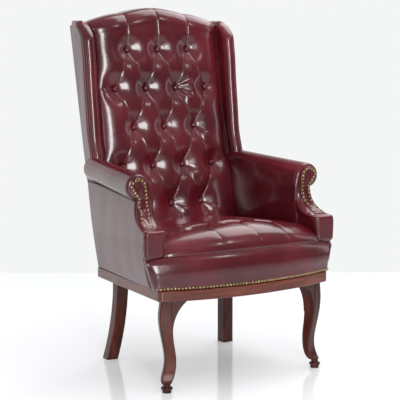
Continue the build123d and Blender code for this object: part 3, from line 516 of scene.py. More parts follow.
def back_crinkles(x, z):
    """Height of the loose crinkles that fan out beside some buttons."""
    total = np.zeros_like(x)
    for (place_x, place_z), first, spread, count, height in CRINKLES:
        away = np.hypot(x - place_x, z - place_z)
        turn = np.degrees(np.arctan2(z - place_z, x - place_x))
        off = (turn - first + 180) % 360 - 180
        share = np.clip(-off / spread, 0, 1)
        inside = ease((CRINKLE_EDGE - off) / (2 * CRINKLE_EDGE))
        inside = inside * ease((off + spread + CRINKLE_EDGE) / (2 * CRINKLE_EDGE))
        reach = np.exp(-((away - CRINKLE_AWAY) / CRINKLE_REACH) ** 2)
        total += height * inside * reach * np.sin(share * count * 2 * pi)
    return total


def back_relief(x, z):
    """How far the hide lies behind the crown plane, from its buttons, folds and crinkles."""
    hollow, crease = back_creases(x, z)
    return np.hypot(back_dimples(x, z), hollow) + crease + back_crinkles(x, z)


def back_pad():
    """Buttoned pad that rolls over the crest: soft and full between the folds."""

    def place(across, along):
        x = (2 * across - 1) * PAD_HALF
        top = crest_z(x)
        # The hide runs up the front, round the crest, over a flat top, round the rear and down a little
        straight = top - CREST_ROUND - PAD_FOOT_Z
        front_arc = CREST_ROUND * pi / 2
        top_rear_y = lean_y(top - REAR_LEVEL, REAR_ROUND + REAR_GAP)
        flat = top_rear_y - pad_front_y(top - CREST_ROUND) - CREST_ROUND
        rear_arc = REAR_ROUND * pi / 2
        run = along * (straight + front_arc + flat + rear_arc + REAR_DROP)
        on_front = np.minimum(run, straight)
        turn = np.clip((run - straight) / CREST_ROUND, 0, pi / 2)
        on_flat = np.clip(run - straight - front_arc, 0, flat)
        rear_turn = np.clip((run - straight - front_arc - flat) / REAR_ROUND, 0, pi / 2)
        on_drop = np.clip(run - straight - front_arc - flat - rear_arc, 0, REAR_DROP)
        z = PAD_FOOT_Z + on_front + CREST_ROUND * np.sin(turn)
        z = z - REAR_ROUND * (1 - np.cos(rear_turn)) - on_drop
        y = pad_front_y(PAD_FOOT_Z + on_front) + CREST_ROUND * (1 - np.cos(turn))
        y = y + on_flat + REAR_ROUND * np.sin(rear_turn)
        relief = back_relief(x, PAD_FOOT_Z + np.minimum(run, straight + front_arc + flat))
        relief += 1.2 * ripple(x, y, z, 95.0, 3)
        side = np.clip((np.abs(x) - SIDE_START) / SIDE_WIDTH, 0, 1)
        pressed = ease((PRESSED_Z - z) / PRESSED_RANGE)
        fall = (SIDE_FALL - PRESSED_FALL * pressed) * (1 - np.sqrt(1 - (side * 0.985) ** 2))
        relief = relief * (1 - 0.75 * side**4)
        widened = np.clip((np.abs(x) - WIDENED_START) / WIDENED_RANGE, 0, 1)
        x = x + WIDENED * pressed * widened * np.sign(x)
        facing = turn + rear_turn
        ahead = np.clip(np.cos(facing), 0, 1)
        above = np.sin(np.minimum(facing, pi / 2))
        y = y + relief * ahead + fall * np.sqrt(ahead) * (1 - 0.4 * above)
        z = z - relief * above - 0.3 * fall * above
        # The edge stays ahead of the post that it is tacked to
        y = y - ahead * np.clip(y - lean_y(z, AHEAD_OF_POST), 0, None)
        return x, y, z

    def flatten(point):
        return Vector((point.x, lean_y(point.z / MM, PAD_REAR) * MM, point.z))

    return leather_cover("tufted_back", 214, 330, place, (0, -1, 0.2), "back_pad", flatten)


def covered_buttons(name, places, height, node):
    """Leather-covered buttons, each a flattened ball at its place that faces its own way."""
    shell = bmesh.new()
    mesh = bpy.data.meshes.new(name)
    for spot, outward in places:
        made = bmesh.ops.create_uvsphere(shell, u_segments=20, v_segments=12, radius=BUTTON_RADIUS * MM)
        ball = made["verts"]
        bmesh.ops.scale(shell, vec=(1, 1, height / BUTTON_RADIUS), verts=ball)
        turn = outward.to_track_quat("Z", "Y").to_matrix()
        bmesh.ops.rotate(shell, cent=(0, 0, 0), matrix=turn, verts=ball)
        bmesh.ops.translate(shell, vec=spot * MM, verts=ball)
    return finished(shell, mesh, leather, node)


def back_buttons():
    """Seventeen buttons at the bottoms of the back's dimples."""
    outward = Vector((0, -1, PAD_RAKE)).normalized()
    sunk = outward * (FUNNEL_DEPTH + BUTTON_SINK)
    places = [(Vector((x, pad_front_y(z), z)) - sunk, outward) for x, z in button_places()]
    return covered_buttons("covered_back_buttons", places, 6.0, "back_buttons")


# Seat

SEAT_TUFTS = ((-117.0, -195.0), (0.0, -197.5), (117.0, -195.0))
SEAT_FOLD_ENDS = (-92.0, 33.0, 146.0)
SEAT_REAR_Y = 150.0
SEAT_TOP_SHARE = 0.72
SEAT_UNDERSIDE_Z = 382.0
FRONT_ROLL = 96.0
FRONT_ROLL_HALF = 285.0

# Half width of the seat before the arms, at the arms' front corners, and between the arms down to the back
SEAT_FRONT_HALF = 280.0
SEAT_CORNER_HALF = 278.0
SEAT_ARM_HALF = 277.0
SEAT_TAPER = 28.0

# Seam between the seat and its border
SEAM_Y = -319.5
SEAM_BOW = 885.0
SEAM_Z = 406.0
SEAM_FALL = 11.0
SEAM_HALF = 323.0

# Crown of the seat at its middle tuft, its bow across, its slope to the rear and the low dome on it
CROWN_Z = 467.0
CROWN_BOW = 1416.7
CROWN_SLOPE = 0.061
DOME_HEIGHT = 9.0
DOME_Y = -90.0
DOME_DEPTH = 215.0
DOME_HALF = 285.0
RIM_FALL = 5.0

# Dimples of the seat, wider than they are deep, with fine folds beside them
DIMPLE_RADIUS = 20.0
DIMPLE_DEPTH = 32.0
DIMPLE_STRETCH = 1.6
SEAT_BUTTON_SINK = 3.5
SEAT_CREASE_WIDTH = 2.6
SEAT_HOLLOW_DEPTH = 1.5
SEAT_HOLLOW_REACH = 30.0


def seam_y(x):
    """Y of the seam between the seat and its border."""
    return SEAM_Y + bow(SEAM_BOW, x)


def seam_z(x):
    """Height of that seam, a little lower at the corners."""
    return SEAM_Z - SEAM_FALL * (np.abs(x) / SEAM_HALF) ** 2


def seat_half(y):
    """Half width of the seat where the arms hold it."""
    between = SEAT_ARM_HALF - SEAT_TAPER * (y - ARM_FACE_Y) / ARM_RUN
    return np.where(y < ARM_FACE_Y, SEAT_FRONT_HALF, between)


def seat_crown(x, y):
    """Height of the seat's smooth crown."""
    dome = np.clip(1 - ((y - DOME_Y) / DOME_DEPTH) ** 2, 0, 1) * np.clip(1 - (x / DOME_HALF) ** 2, 0, 1)
    return CROWN_Z - bow(CROWN_BOW, x) - CROWN_SLOPE * (y - SEAT_TUFTS[1][1]) + DOME_HEIGHT * dome


def seat_relief(x, y):
    """How far the hide lies under the crown, from its three dimples and the folds beside them."""
    depth = np.zeros_like(x)
    for (tuft_x, tuft_y), end_x in zip(SEAT_TUFTS, SEAT_FOLD_ENDS):
        away = np.hypot((x - tuft_x) / DIMPLE_STRETCH, y - tuft_y)
        depth = np.maximum(depth, DIMPLE_DEPTH * np.exp(-(away / DIMPLE_RADIUS) ** FUNNEL_POWER))
        # Folds to the seam, to the right and to the rear, with the share left at the end and their depth
        folds = (
            ((end_x, seam_y(end_x) - 4.0), 0.7, 1.3),
            ((tuft_x + 62.0, tuft_y + 20.0), 0.2, 1.6),
            ((tuft_x - 30.0, tuft_y + 95.0), 0.3, 1.2),
        )
        for end, end_share, crease in folds:
            along, off_x, off_y = beside_line(x, y, (tuft_x, tuft_y), end)
            gap = np.hypot(off_x, off_y)
            share = 1 + (end_share - 1) * along
            depth += share * crease * np.exp(-gap / SEAT_CREASE_WIDTH)
            depth += share * SEAT_HOLLOW_DEPTH * np.clip(1 - gap / SEAT_HOLLOW_REACH, 0, 1) ** 2
    return depth


def seat_pad():
    """Tight crowned seat that rolls over the front to its seam."""

    def place(across, along):
        side = 2 * across - 1
        share = np.clip(along / SEAT_TOP_SHARE, 0, 1)
        turn = np.clip((along - SEAT_TOP_SHARE) / (1 - SEAT_TOP_SHARE), 0, 1) * radians(86)
        edge = seam_y(side * FRONT_ROLL_HALF) + FRONT_ROLL
        y = SEAT_REAR_Y + (edge - SEAT_REAR_Y) * share - FRONT_ROLL * np.sin(turn)
        # The rim bends softly past the front corners of the arms
        soft = ease(np.abs(y - ARM_FACE_Y) / 14.0)
        x = side * (seat_half(y) * soft + SEAT_CORNER_HALF * (1 - soft))
        crown = seat_crown(x, np.maximum(y, edge))
        low = seam_z(x)
        z = low + (crown - low) * np.cos(turn)
        rim_fall = RIM_FALL * np.clip((np.abs(side) - 0.9) / 0.1, 0, 1) ** 2
        relief = seat_relief(x, y) + rim_fall + ripple(x, y, z, 120.0, 11)
        z = z - relief * np.cos(turn)
        y = y + relief * np.sin(turn) * 0.8
        return x, y, z

    def flatten(point):
        return Vector((point.x * 0.985, point.y * 0.985 + 2 * MM, SEAT_UNDERSIDE_Z * MM))

    return leather_cover("tufted_seat", 220, 200, place, (0, -0.3, 1), "seat_pad", flatten)


def seat_buttons():
    """Three buttons sunk out of sight in the seat's dimples."""
    sunk = DIMPLE_DEPTH + SEAT_BUTTON_SINK
    places = [(Vector((x, y, seat_crown(x, y) - sunk)), Vector((0, 0, 1))) for x, y in SEAT_TUFTS]
    return covered_buttons("covered_seat_buttons", places, 5.0, "seat_buttons")


# Front border

BORDER_SIDE_Y = -247.0
BORDER_HALF = 302.0
BORDER_BOW = 900.0
SIDE_LEAN = 33.0 / 491.0
BORDER_COLUMNS = 320
BORDER_ROWS = 30

# Section of the border from its foot to the seam: how far it steps back and how far it flares
BORDER_LEVEL_SHARES = (0, 0.2, 0.45, 0.7, 0.9, 1)
BORDER_STEPS = (4.0, 2.6, -1.0, 1.5, 9.0, 17.0)
BORDER_FLARES = (6.0, 11.5, 19.5, 26.0, 29.0, 28.0)


def smoothed(line, weights, reach):
    """Running mean of a line, whose last points at either end stay where they are."""
    padded = np.concatenate([np.full(reach, line[0]), line, np.full(reach, line[-1])])
    mean = np.convolve(padded, weights, "valid")
    mean[:reach] = line[:reach]
    mean[-reach:] = line[-reach:]
    return mean


def border_line(step, flare, reach):
    """Plan of the border from one side round the bow to the other, with soft corners."""
    half = BORDER_HALF + flare
    radius = BORDER_BOW - step
    apex = FRONT_Y + step
    corner = apex + bow(radius, half)
    x = np.linspace(-half, half, 400)
    y = apex + bow(radius, x)
    side_y = np.linspace(BORDER_SIDE_Y, corner, 30)[:-1]
    side_x = half - (side_y - corner) * SIDE_LEAN
    line_x = np.concatenate([-side_x, x, side_x[::-1]])
    line_y = np.concatenate([side_y, y, side_y[::-1]])
    steps = np.concatenate([[0], np.cumsum(np.hypot(np.diff(line_x), np.diff(line_y)))])
    even = np.linspace(0, steps[-1], BORDER_COLUMNS + 1)
    line_x = np.interp(even, steps, line_x)
    line_y = np.interp(even, steps, line_y)
    weights = np.hanning(2 * reach + 3)[1:-1]
    weights /= weights.sum()
    for _ in range(2):
        line_x = smoothed(line_x, weights, reach)
        line_y = smoothed(line_y, weights, reach)
    return line_x, line_y


def front_border():
    """Padded front border between the nails and the seat's seam, full at mid height."""
    levels = np.linspace(0, 1, BORDER_ROWS + 1)
    steps = smooth_line(levels, BORDER_LEVEL_SHARES, BORDER_STEPS)
    flares = smooth_line(levels, BORDER_LEVEL_SHARES, BORDER_FLARES)
    # The foot keeps the sharper corners that the nails follow
    reaches = np.rint(3 + 6 * ease(levels / 0.3)).astype(int)
    lines = [border_line(step, flare, reach) for step, flare, reach in zip(steps, flares, reaches)]
    grid_x = np.array([line[0] for line in lines])
    grid_y = np.array([line[1] for line in lines])

    def place(across, along):
        column = np.rint(across * BORDER_COLUMNS).astype(int)
        row = np.rint(along * BORDER_ROWS).astype(int)
        x = grid_x[row, column]
        y = grid_y[row, column]
        top = seam_z(np.clip(x, -SEAM_HALF, SEAM_HALF))
        z = HIDE_FOOT + (top - HIDE_FOOT) * along
        z = z + 0.5 * ripple(x, y, z, 90.0, 5) * np.sin(pi * along)
        y = y + 0.9 * ripple(x, y, z, 110.0, 6) * np.sin(pi * along)
        return x, y, z

    return leather_cover("padded_front_border", BORDER_COLUMNS, BORDER_ROWS, place, (0, -1, 0),
                         "front_border", thickness=14.0)


# Arms

# Section of the arm at its front and at the back: x and height of the roll's centre, the roll's radius,
# and x of the neck and the foot of the inner face
ARM_AT_FRONT = (ROLL_X, ROLL_Z, ROLL_RADIUS, 252.0, 274.0)
ARM_AT_BACK = (268.0, 612.0, 36.0, 238.0, 246.0)
ARM_REAR_Y = 184.0
ARM_FOOT_Z = 400.0
NECK_UNDER_ROLL = 41.0
INNER_FACE_SHARE = 0.36
INNER_SWELL = 5.0
ARM_END_SHARE = 0.045
ARM_END_LENGTH = 14.8
ARM_END_ROUND = 9.0
ARM_REAR_GAP = 12.0


def arm_section(share):
    """Roll's centre and radius, neck and foot of the arm at a share of the way to the back."""
    return tuple(front + (back - front) * share for front, back in zip(ARM_AT_FRONT, ARM_AT_BACK))


def arm_pad(side, hand):
    """Inner arm that rises from the seat, turns over the roll and ends at the seam under it."""

    def place(across, along):
        # Across runs from the seat up the inner face, over the roll and down to the seam under it
        end = np.clip(1 - along / ARM_END_SHARE, 0, 1)
        shrink = ARM_END_ROUND * (1 - np.sqrt(np.clip(1 - end**2, 0, 1)))
        y = ARM_FACE_Y + (ARM_REAR_Y - ARM_FACE_Y) * along
        y = np.where(along < ARM_END_SHARE, ARM_FACE_Y + ARM_END_LENGTH * along / ARM_END_SHARE, y)
        centre_x, centre_z, radius, neck_x, seat_x = arm_section((y - ARM_FACE_Y) / ARM_RUN)
        radius = radius - shrink
        neck_x = neck_x + shrink * 0.8
        neck_z = centre_z - NECK_UNDER_ROLL
        up = np.clip(across / INNER_FACE_SHARE, 0, 1)
        foot_x = seat_x + shrink * 0.8
        face_x = foot_x + (neck_x - foot_x) * up - INNER_SWELL * np.sin(pi * up)
        face_z = ARM_FOOT_Z + (neck_z - ARM_FOOT_Z) * up
        turn = np.clip((across - INNER_FACE_SHARE) / (1 - INNER_FACE_SHARE), 0, 1)
        angle = radians(198) - radians(288) * turn
        roll_x = centre_x + radius * np.cos(angle)
        roll_z = centre_z + radius * np.sin(angle)
        # The face runs into the roll over the neck
        over_x = neck_x + (roll_x - neck_x) * ease(turn / 0.22)
        over_z = neck_z + (roll_z - neck_z) * ease(turn / 0.16) ** 0.5
        on_face = across <= INNER_FACE_SHARE
        x = np.where(on_face, face_x, over_x)
        z = np.where(on_face, face_z, over_z)
        slack = 0.8 * ripple(x, y, z, 130.0, 21)
        return hand * (x - slack), np.minimum(y, lean_y(z, ARM_REAR_GAP)), z

    def flatten(point):
        # The hidden side lies close round a board inside the arm
        centre_x, centre_z, _, _, _ = arm_section((point.y / MM - ARM_FACE_Y) / ARM_RUN)
        core_x = hand * centre_x * MM
        core_z = min(max(point.z, ARM_FOOT_Z * MM), (centre_z - 20.0) * MM)
        return Vector((core_x + (point.x - core_x) * 0.12, point.y, core_z + (point.z - core_z) * 0.12))

    return leather_cover(f"arm_roll_{side}", 110, 120, place, (-hand, 0, 0.3),
                         f"arm_pad_{side}", flatten)


# Front of the arm, from the border up the block, over its lip and up the cove, with x of its two edges
BLOCK_FOOT_Z = 393.0
BLOCK_SHARE = 0.36
LIP_SHARE = 0.44
LIP_ROUND = 8.0
ARM_FRONT_Z = (397, 440, 470, 500, 525, 560)
ARM_FRONT_INNER = (275, 269, 263, 258, 254, 251)
ARM_FRONT_OUTER = (337, 338, 336, 323, 316, 313)
BLOCK_REAR_Y = -150.0
BLOCK_CORE_X = 300.0
BLOCK_CORE_Y = -240.0
OUTER_ROUND = 11.0
INNER_ROUND_MORE = 14.0
FOOT_TUCK = 5.0
UNDER_PANEL = 19.0

# Front edge of the outside arm: straight up, then behind the cove
PANEL_EDGE_Z = (303, 336, 409, 462, 478, 488, 500, 515, 535, 552)
PANEL_EDGE_Y = (-246, -247, -247, -245, -224, -201, -186, -174, -166, -163)


def panel_front_y(z):
    """Y of the outside arm's front edge at a height."""
    return smooth_line(z, PANEL_EDGE_Z, PANEL_EDGE_Y)


def front_line(along):
    """Y and height of the arm's front, from the border up the block, over the lip and up the cove."""
    on_block = np.clip(along / BLOCK_SHARE, 0, 1)
    on_lip = np.clip((along - BLOCK_SHARE) / (LIP_SHARE - BLOCK_SHARE), 0, 1) * pi / 2
    on_cove = np.clip((along - LIP_SHARE) / (1 - LIP_SHARE), 0, 1) * pi / 2
    y = BLOCK_Y + LIP_ROUND * (1 - np.cos(on_lip))
    z = BLOCK_FOOT_Z + (LIP_Z - LIP_ROUND - BLOCK_FOOT_Z) * on_block + LIP_ROUND * np.sin(on_lip)
    y = np.where(along > LIP_SHARE, COVE_Y + COVE_RADIUS * np.sin(on_cove), y)
    z = np.where(along > LIP_SHARE, NECK_Z - COVE_RADIUS * np.cos(on_cove), z)
    return y, z


def arm_front(side, hand):
    """Padded arm front: square block below, a cove above it, with soft edges."""

    def place(across, along):
        y, z = front_line(along)
        inner = smooth_line(z, ARM_FRONT_Z, ARM_FRONT_INNER)
        outer = smooth_line(z, ARM_FRONT_Z, ARM_FRONT_OUTER)
        inner_round = OUTER_ROUND + INNER_ROUND_MORE * ease((z - 412.0) / 60.0)
        # The foot of the block is turned under where it meets the border
        tuck = FOOT_TUCK * (1 - ease((z - BLOCK_FOOT_Z) / 14.0)) ** 2
        outer = outer - tuck
        y = y + tuck
        # Across runs from the inner rear, round the front and to the outer rear
        inner_side = np.clip(across / 0.25, 0, 1)
        inner_turn = np.clip((across - 0.25) / 0.1, 0, 1) * pi / 2
        front = np.clip((across - 0.35) / 0.3, 0, 1)
        outer_turn = np.clip((across - 0.65) / 0.1, 0, 1) * pi / 2
        outer_side = np.clip((across - 0.75) / 0.25, 0, 1)
        width = outer - inner - inner_round - OUTER_ROUND
        x = inner + inner_round * (1 - np.cos(inner_turn)) + width * front
        x = x + OUTER_ROUND * np.sin(outer_turn)
        y = y + inner_round * (1 - np.sin(inner_turn)) + OUTER_ROUND * (1 - np.cos(outer_turn))
        y = y + (BLOCK_REAR_Y - y) * (1 - inner_side + outer_side)
        x = x + 0.6 * ripple(x, y, z, 60.0, 31)
        # Its outer side goes in under the outside arm
        under = np.clip((y - panel_front_y(z) + 6.0) / 12.0, 0, 1) * (across > 0.5)
        return hand * (x - UNDER_PANEL * ease(under)), y, z

    def flatten(point):
        return Vector((hand * BLOCK_CORE_X * MM, max(point.y, BLOCK_CORE_Y * MM), point.z))

    return leather_cover(f"arm_front_{side}", 72, 96, place, (0, -1, 0),
                         f"arm_front_pad_{side}", flatten)


# Keyhole facing: its centre and half width at heights, and the round head on the scroll
FACING_Z = (476, 517, 545, 560, 575, 592, 621)
FACING_CENTRE = (306, 294, 292.5, 292.5, 298, 306.5, 307)
FACING_HALF_Z = (476, 520, 545, 560, 575)
FACING_HALF = (18.5, 18.5, 18.5, 18.5, 23.5)
FACING_HEAD_Z = 592.0
FACING_HEAD = 29.0
FACING_TOP = 29.5
FACING_COVE_SHARE = 0.6
FACING_PUFF = 2.2


def arm_facing(side, hand):
    """Keyhole facing on the scroll and down the cove, quilted by its nails."""

    def place(across, along):
        # Along runs up the cove and then up the scroll's face
        on_cove = np.clip(along / FACING_COVE_SHARE, 0, 1)
        on_face = np.clip((along - FACING_COVE_SHARE) / (1 - FACING_COVE_SHARE), 0, 1)
        turn = radians(77) * (1 - on_cove)
        y = COVE_Y + COVE_RADIUS * np.cos(turn)
        z = NECK_Z - COVE_RADIUS * np.sin(turn) + (ROLL_Z + FACING_TOP - NECK_Z) * on_face
        head = np.sqrt(np.clip(FACING_HEAD**2 - (z - FACING_HEAD_Z) ** 2, 1.0, None))
        half = np.where(z > FACING_HALF_Z[-1], head, smooth_line(z, FACING_HALF_Z, FACING_HALF))
        spread = 2 * across - 1
        x = smooth_line(z, FACING_Z, FACING_CENTRE) + half * spread
        puff = FACING_PUFF * np.sqrt(np.clip(1 - spread**4, 0, 1)) + 1.0
        puff = puff + 0.9 * ripple(x, y * 0.4, z, 17.0, 41) * (1 - spread**2)
        puff = puff * ease(along / 0.03) * ease((1 - along) / 0.02) + 0.2
        return hand * x, y - puff * np.cos(turn), z + puff * np.sin(turn)

    return leather_cover(f"nailed_facing_{side}", 26, 110, place, (0, -1, 0),
                         f"arm_facing_{side}", thickness=2.0)


# Outside arm: its sloping top, and x of its flared front edge and of its rear edge at heights
PANEL_TOP_Z = 552.5
PANEL_TOP_RISE = 24.5
PANEL_FRONT_Z = (303, 330, 380, 439, 500, 575)
PANEL_FRONT_X = (308, 318, 329, 333, 329, 314)
PANEL_REAR_Z = (303, 439, 575)
PANEL_REAR_X = (269.5, 275, 273.5)
PANEL_START_Y = -248.0


def outside_arm(side, hand):
    """Outer arm panel: flared at the front, stretched over a thin pad, with turned edges."""

    def place(across, along):
        top = PANEL_TOP_Z + PANEL_TOP_RISE * across
        z = HIDE_FOOT + (top - HIDE_FOOT) * along
        front = panel_front_y(z)
        y = front + (lean_y(z) - 1.0 - front) * across
        front_x = smooth_line(z, PANEL_FRONT_Z, PANEL_FRONT_X)
        rear_x = smooth_line(z, PANEL_REAR_Z, PANEL_REAR_X)
        x = front_x + (rear_x - front_x) * (y - PANEL_START_Y) / (lean_y(z) - PANEL_START_Y)
        rim = np.minimum(np.minimum(across, 1 - across) * 460.0, np.minimum(along, 1 - along) * 260.0)
        x = x - turned_edge(rim, 7.0, 4.0)
        x = x + 1.1 * ripple(x, y, z * 0.25, 90.0, 51) * ease(rim / 40.0)
        return hand * x, y, z

    return leather_cover(f"outside_arm_panel_{side}", 120, 90, place, (hand, 0, 0),
                         f"outside_arm_{side}", thickness=7.0)


# Wings: how far their roll starts ahead of the back at heights, and x of their faces
WING_Z = (572.0, 646.0, 710.0, 787.0, 876.0, 988.0, 1030.0, 1066.0)
WING_FRONT = (60.0, 66.0, 62.0, 70.0, 80.0, 93.0, 92.0, 62.0)
WING_INNER = 241.0
WING_OUTER = 282.0
WING_REAR = 273.0
WING_BODY_SHARE = 0.93
WING_CAP_Z = 1052.0
WING_CAP = 22.0
WING_CORE_X = 258.0
WING_PANEL_FOOT_Z = 574.0
# Sewn lines on the wing's roll, as angle in degrees and depth
WING_SEAMS = ((321, 1.6), (192, 1.3))
WING_SEAM_WIDTH = 1.8


def wing_front_y(z):
    """Y of the line where the wing's roll starts."""
    return lean_y(z, smooth_line(z, WING_Z, WING_FRONT))


def wing_pad(side, hand):
    """Wing with its full front roll, a sewn line on each side of the roll and a rounded top."""
    middle = (WING_INNER + WING_OUTER) / 2
    radius = (WING_OUTER - WING_INNER) / 2

    def place(across, along):
        up = np.clip(along / WING_BODY_SHARE, 0, 1)
        cap = np.clip((along - WING_BODY_SHARE) / (1 - WING_BODY_SHARE), 0, 1) * radians(84)
        z = WING_Z[0] + (WING_CAP_Z - WING_Z[0]) * up + WING_CAP * np.sin(cap)
        front = wing_front_y(np.minimum(z, WING_Z[-1]))
        rear = lean_y(z, 8.0)
        # Across runs from the rear along the inner face, round the roll and back along the outer face
        inner_run = np.clip(across / 0.3, 0, 1)
        angle = pi + np.clip((across - 0.3) / 0.55, 0, 1) * pi
        outer_run = np.clip((across - 0.85) / 0.15, 0, 1)
        size = radius
        for seam, depth in WING_SEAMS:
            size = size - depth * np.exp(-((angle - radians(seam)) * radius / WING_SEAM_WIDTH) ** 2)
        x = middle + size * np.cos(angle)
        y = front + size * np.sin(angle)
        y = np.where(inner_run < 1, rear + (front - rear) * inner_run, y)
        y = np.where(outer_run > 0, front + (rear - front) * outer_run, y)
        outer_x = WING_OUTER - 4.0 + (WING_REAR - WING_OUTER) * outer_run
        x = np.where(outer_run > 0, outer_x, x)
        x = middle + (x - middle) * np.cos(cap)
        y = y + (1 - np.cos(cap)) * np.clip(rear - y, 0, 24.0)
        y = y + 0.7 * ripple(x * 0.5, y * 0.5, z, 110.0, 61)
        return hand * x, y, z

    def flatten(point):
        x = WING_CORE_X * MM + (abs(point.x) - WING_CORE_X * MM) * 0.8
        return Vector((hand * x, lean_y(point.z / MM, PAD_REAR) * MM, point.z))

    return leather_cover(f"padded_wing_{side}", 96, 190, place, (0, -1, 0),
                         f"wing_pad_{side}", flatten)


def wing_panel(side, hand):
    """Flat outer face of the wing, turned in at the roll's seam and at the rear corner."""

    def place(across, along):
        front_fall = 10.0 * np.clip(1 - across / 0.3, 0, 1) ** 2
        rear_fall = 8.0 * np.clip((across - 0.6) / 0.4, 0, 1) ** 2
        top = WING_Z[-1] - front_fall - rear_fall
        z = WING_PANEL_FOOT_Z + (top - WING_PANEL_FOOT_Z) * along
        front = wing_front_y(z) + 0.5
        y = front + (lean_y(z, 1.0) - front) * across
        x = WING_OUTER + 0.8 + (WING_REAR - WING_OUTER) * across
        rim = np.minimum(np.minimum(across, 1 - across) * 110.0, (1 - along) * 490.0)
        x = x - turned_edge(rim, 6.0, 3.2)
        x = x + 0.8 * ripple(x, y, z * 0.3, 70.0, 71) * ease(rim / 25.0)
        cap = np.clip((z - WING_CAP_Z) / 14.0, 0, 1)
        return hand * (x - 9.0 * cap**2), y, z

    return leather_cover(f"outside_wing_panel_{side}", 40, 130, place, (hand, 0, 0),
                         f"wing_panel_{side}", thickness=3.5)


# Rear and underside

BACK_TOP_Z = 1039.0
BACK_ARCH = 48.0
BACK_HALF_Z = (303, 575, 1039, 1090)
BACK_HALF = (269, 273, 273, 273)


def outside_back():
    """Outside back stretched flat between the rear corners, with turned edges and an arched top."""

    def place(across, along):
        side = 2 * across - 1
        top = BACK_TOP_Z + BACK_ARCH * (1 - side**2)
        z = HIDE_FOOT + (top - HIDE_FOOT) * along
        x = side * smooth_line(z, BACK_HALF_Z, BACK_HALF)
        rim = np.minimum(np.minimum(across, 1 - across) * 540.0, np.minimum(along, 1 - along) * 760.0)
        y = lean_y(z, 0.4) - turned_edge(rim, 6.0, 3.0)
        y = y + ripple(x, y, z, 160.0, 81) * ease(rim / 40.0) - 1.0
        return x, y, z

    return leather_cover("outside_back_panel", 120, 130, place, (0, 1, 0), "outside_back", thickness=4.0)


def dust_cover():
    """Black cloth stapled under the seat, sagging a little in the middle."""
    node_low, node_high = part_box("dust_cover")
    half = node_high.x / MM - 4.0
    front = node_low.y / MM + 55.0
    rear = node_high.y / MM - 4.0

    def place(across, along):
        y = front + (rear - front) * along
        x = (2 * across - 1) * (half - 33.0 * along)
        z = node_low.z / MM + 0.6 - 3.0 * np.sin(pi * across) * np.sin(pi * along)
        return x, y, z

    shell, mesh = covering("dust_cover_cloth", 40, 34, place, (0, 0, -1))
    return finished(shell, mesh, cambric, "dust_cover", thickness=0.5)


back_pad()
back_buttons()
seat_pad()
seat_buttons()
front_border()
for side, hand in SIDES:
    arm_pad(side, hand)
    arm_front(side, hand)
    arm_facing(side, hand)
    outside_arm(side, hand)
    wing_pad(side, hand)
    wing_panel(side, hand)
outside_back()
CLOTH = dust_cover()


# Studio

VIEW_AZIMUTH = radians(-32.08)
VIEW_ELEVATION = radians(7.51)
LENS = 116.5
DISTANCE = 3.943
AIM = Vector((-0.0527, -0.1045, 0.5307))
TOWARDS_CAMERA = Vector((
    sin(VIEW_AZIMUTH) * cos(VIEW_ELEVATION),
    -cos(VIEW_AZIMUTH) * cos(VIEW_ELEVATION),
    sin(VIEW_ELEVATION),
))


def facing(name, data, place, way):
    """New camera or light at a place that faces a way."""
    made = placed(name, data)
    made.location = place
    made.rotation_mode = "QUATERNION"
    made.rotation_quaternion = way.to_track_quat("-Z", "Y")
    return made


def studio_camera():
    """Camera at the photograph's angle and distance."""
    data = bpy.data.cameras.new("camera")
    data.sensor_width = 36.0
    data.lens = LENS
    bpy.context.scene.camera = facing("camera", data, AIM + TOWARDS_CAMERA * DISTANCE, -TOWARDS_CAMERA)


def floor_gloss():
    """Glossy pale lacquered floor, lit a little from within like a studio's light table."""
    made, tree, shader, place = material("pale_floor")
    cloud = add(tree, "TexNoise", Vector=place, Scale=1.5, Detail=2.0)
    colour = shade(tree, cloud.outputs["Fac"], (0.3, "B4B4B6"), (0.7, "BABABC"))
    connect(tree, shader, Base_Color=colour, Emission_Color=linear("F4F4F5"), Emission_Strength=0.28,
            Roughness=0.1)
    return made


def studio_floor():
    """Pale floor, square to the view, that ends behind the chair where the white backdrop starts."""
    mesh = bpy.data.meshes.new("studio_floor")
    shell = bmesh.new()
    bmesh.ops.create_grid(shell, x_segments=1, y_segments=1, size=0.5)
    bmesh.ops.scale(shell, vec=(9.0, 5.6, 1), verts=shell.verts)
    bmesh.ops.translate(shell, vec=(0, -1.3, 0), verts=shell.verts)
    turn = Matrix.Rotation(VIEW_AZIMUTH, 3, "Z")
    bmesh.ops.rotate(shell, cent=(0, 0, 0), matrix=turn, verts=shell.verts)
    shell.to_mesh(mesh)
    shell.free()
    mesh.materials.append(floor_gloss())
    placed("studio_floor", mesh)


def soft_box(name, place, aim, width, height, power):
    """Rectangular studio light that points at a place."""
    data = bpy.data.lights.new(name, "AREA")
    data.shape = "RECTANGLE"
    data.size = width
    data.size_y = height
    data.energy = power
    light = facing(name, data, place, Vector(aim) - Vector(place))
    light.visible_camera = False
    return light


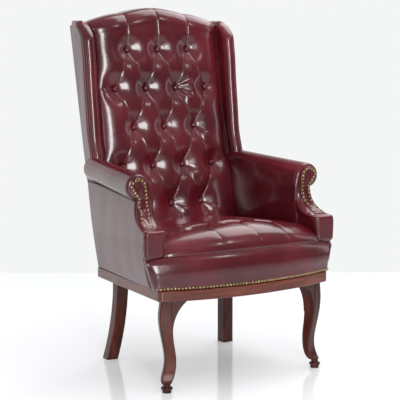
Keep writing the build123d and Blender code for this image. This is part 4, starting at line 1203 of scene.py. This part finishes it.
def studio_world():
    """White backdrop behind the chair, in a room that the leather reflects as dim, and lighter overhead."""
    world = bpy.data.worlds.new("surround")
    world.use_nodes = True
    tree = world.node_tree
    tree.nodes.clear()
    axes = add(tree, "SeparateXYZ", Vector=add(tree, "TexCoord").outputs["Generated"])
    height = axes.outputs["Z"]
    level = add(tree, "MapRange", Value=height, From_Min=-0.2, From_Max=1.0).outputs["Result"]
    greys = shade(tree, level, (0.0, "5E5E62"), (1.0, "A2A4A8"))
    dim = add(tree, "Background", Color=greys, Strength=1.0)
    # The backdrop stands behind the chair, up to about 30 degrees over the floor
    behind = add(tree, "MapRange", Value=axes.outputs["Y"], From_Min=0.2, From_Max=0.45)
    under = add(tree, "MapRange", Value=height, From_Min=0.65, From_Max=0.35)
    covered = add(tree, "Math", {"operation": "MULTIPLY"},
                  n0=behind.outputs["Result"], n1=under.outputs["Result"]).outputs["Value"]
    backdrop = add(tree, "Background", Color=linear("F4F6F5"), Strength=1.0)
    room = add(tree, "MixShader", Fac=covered, n1=dim.outputs["Background"],
               n2=backdrop.outputs["Background"])
    seen = add(tree, "LightPath").outputs["Is Camera Ray"]
    mixed = add(tree, "MixShader", Fac=seen, n1=room.outputs["Shader"],
                n2=backdrop.outputs["Background"])
    add(tree, "OutputWorld", Surface=mixed.outputs["Shader"])
    bpy.context.scene.world = world


def studio_lights():
    """Tall key box in front, slim boxes at the sides, a bank at the left rear, two overhead and a wash."""
    middle = (0.0, -0.05, 0.6)
    soft_box("key_box", (-1.55, -4.15, 1.55), middle, 0.8, 2.2, 112)
    soft_box("left_strip", (-2.5, -1.9, 1.5), middle, 0.4, 1.5, 7)
    soft_box("left_bank", (-1.75, 2.3, 0.5), (-0.3, 0.0, 0.5), 2.6, 1.9, 4)
    soft_box("overhead_box", (1.3, 0.4, 2.5), (0.0, -0.1, 0.4), 1.8, 1.8, 32)
    soft_box("front_box", (0.95, -2.1, 2.5), (0.0, -0.3, 0.4), 0.45, 0.5, 6)
    soft_box("right_strip", (2.6, -0.7, 1.2), middle, 0.3, 1.6, 3)
    wash = soft_box("floor_wash", (0.0, -0.6, 3.2), (0.0, -0.6, 0.0), 4.0, 4.0, 150)
    wash.visible_glossy = False


studio_camera()
studio_floor()
studio_world()
studio_lights()
bpy.context.scene.view_settings.view_transform = "Standard"
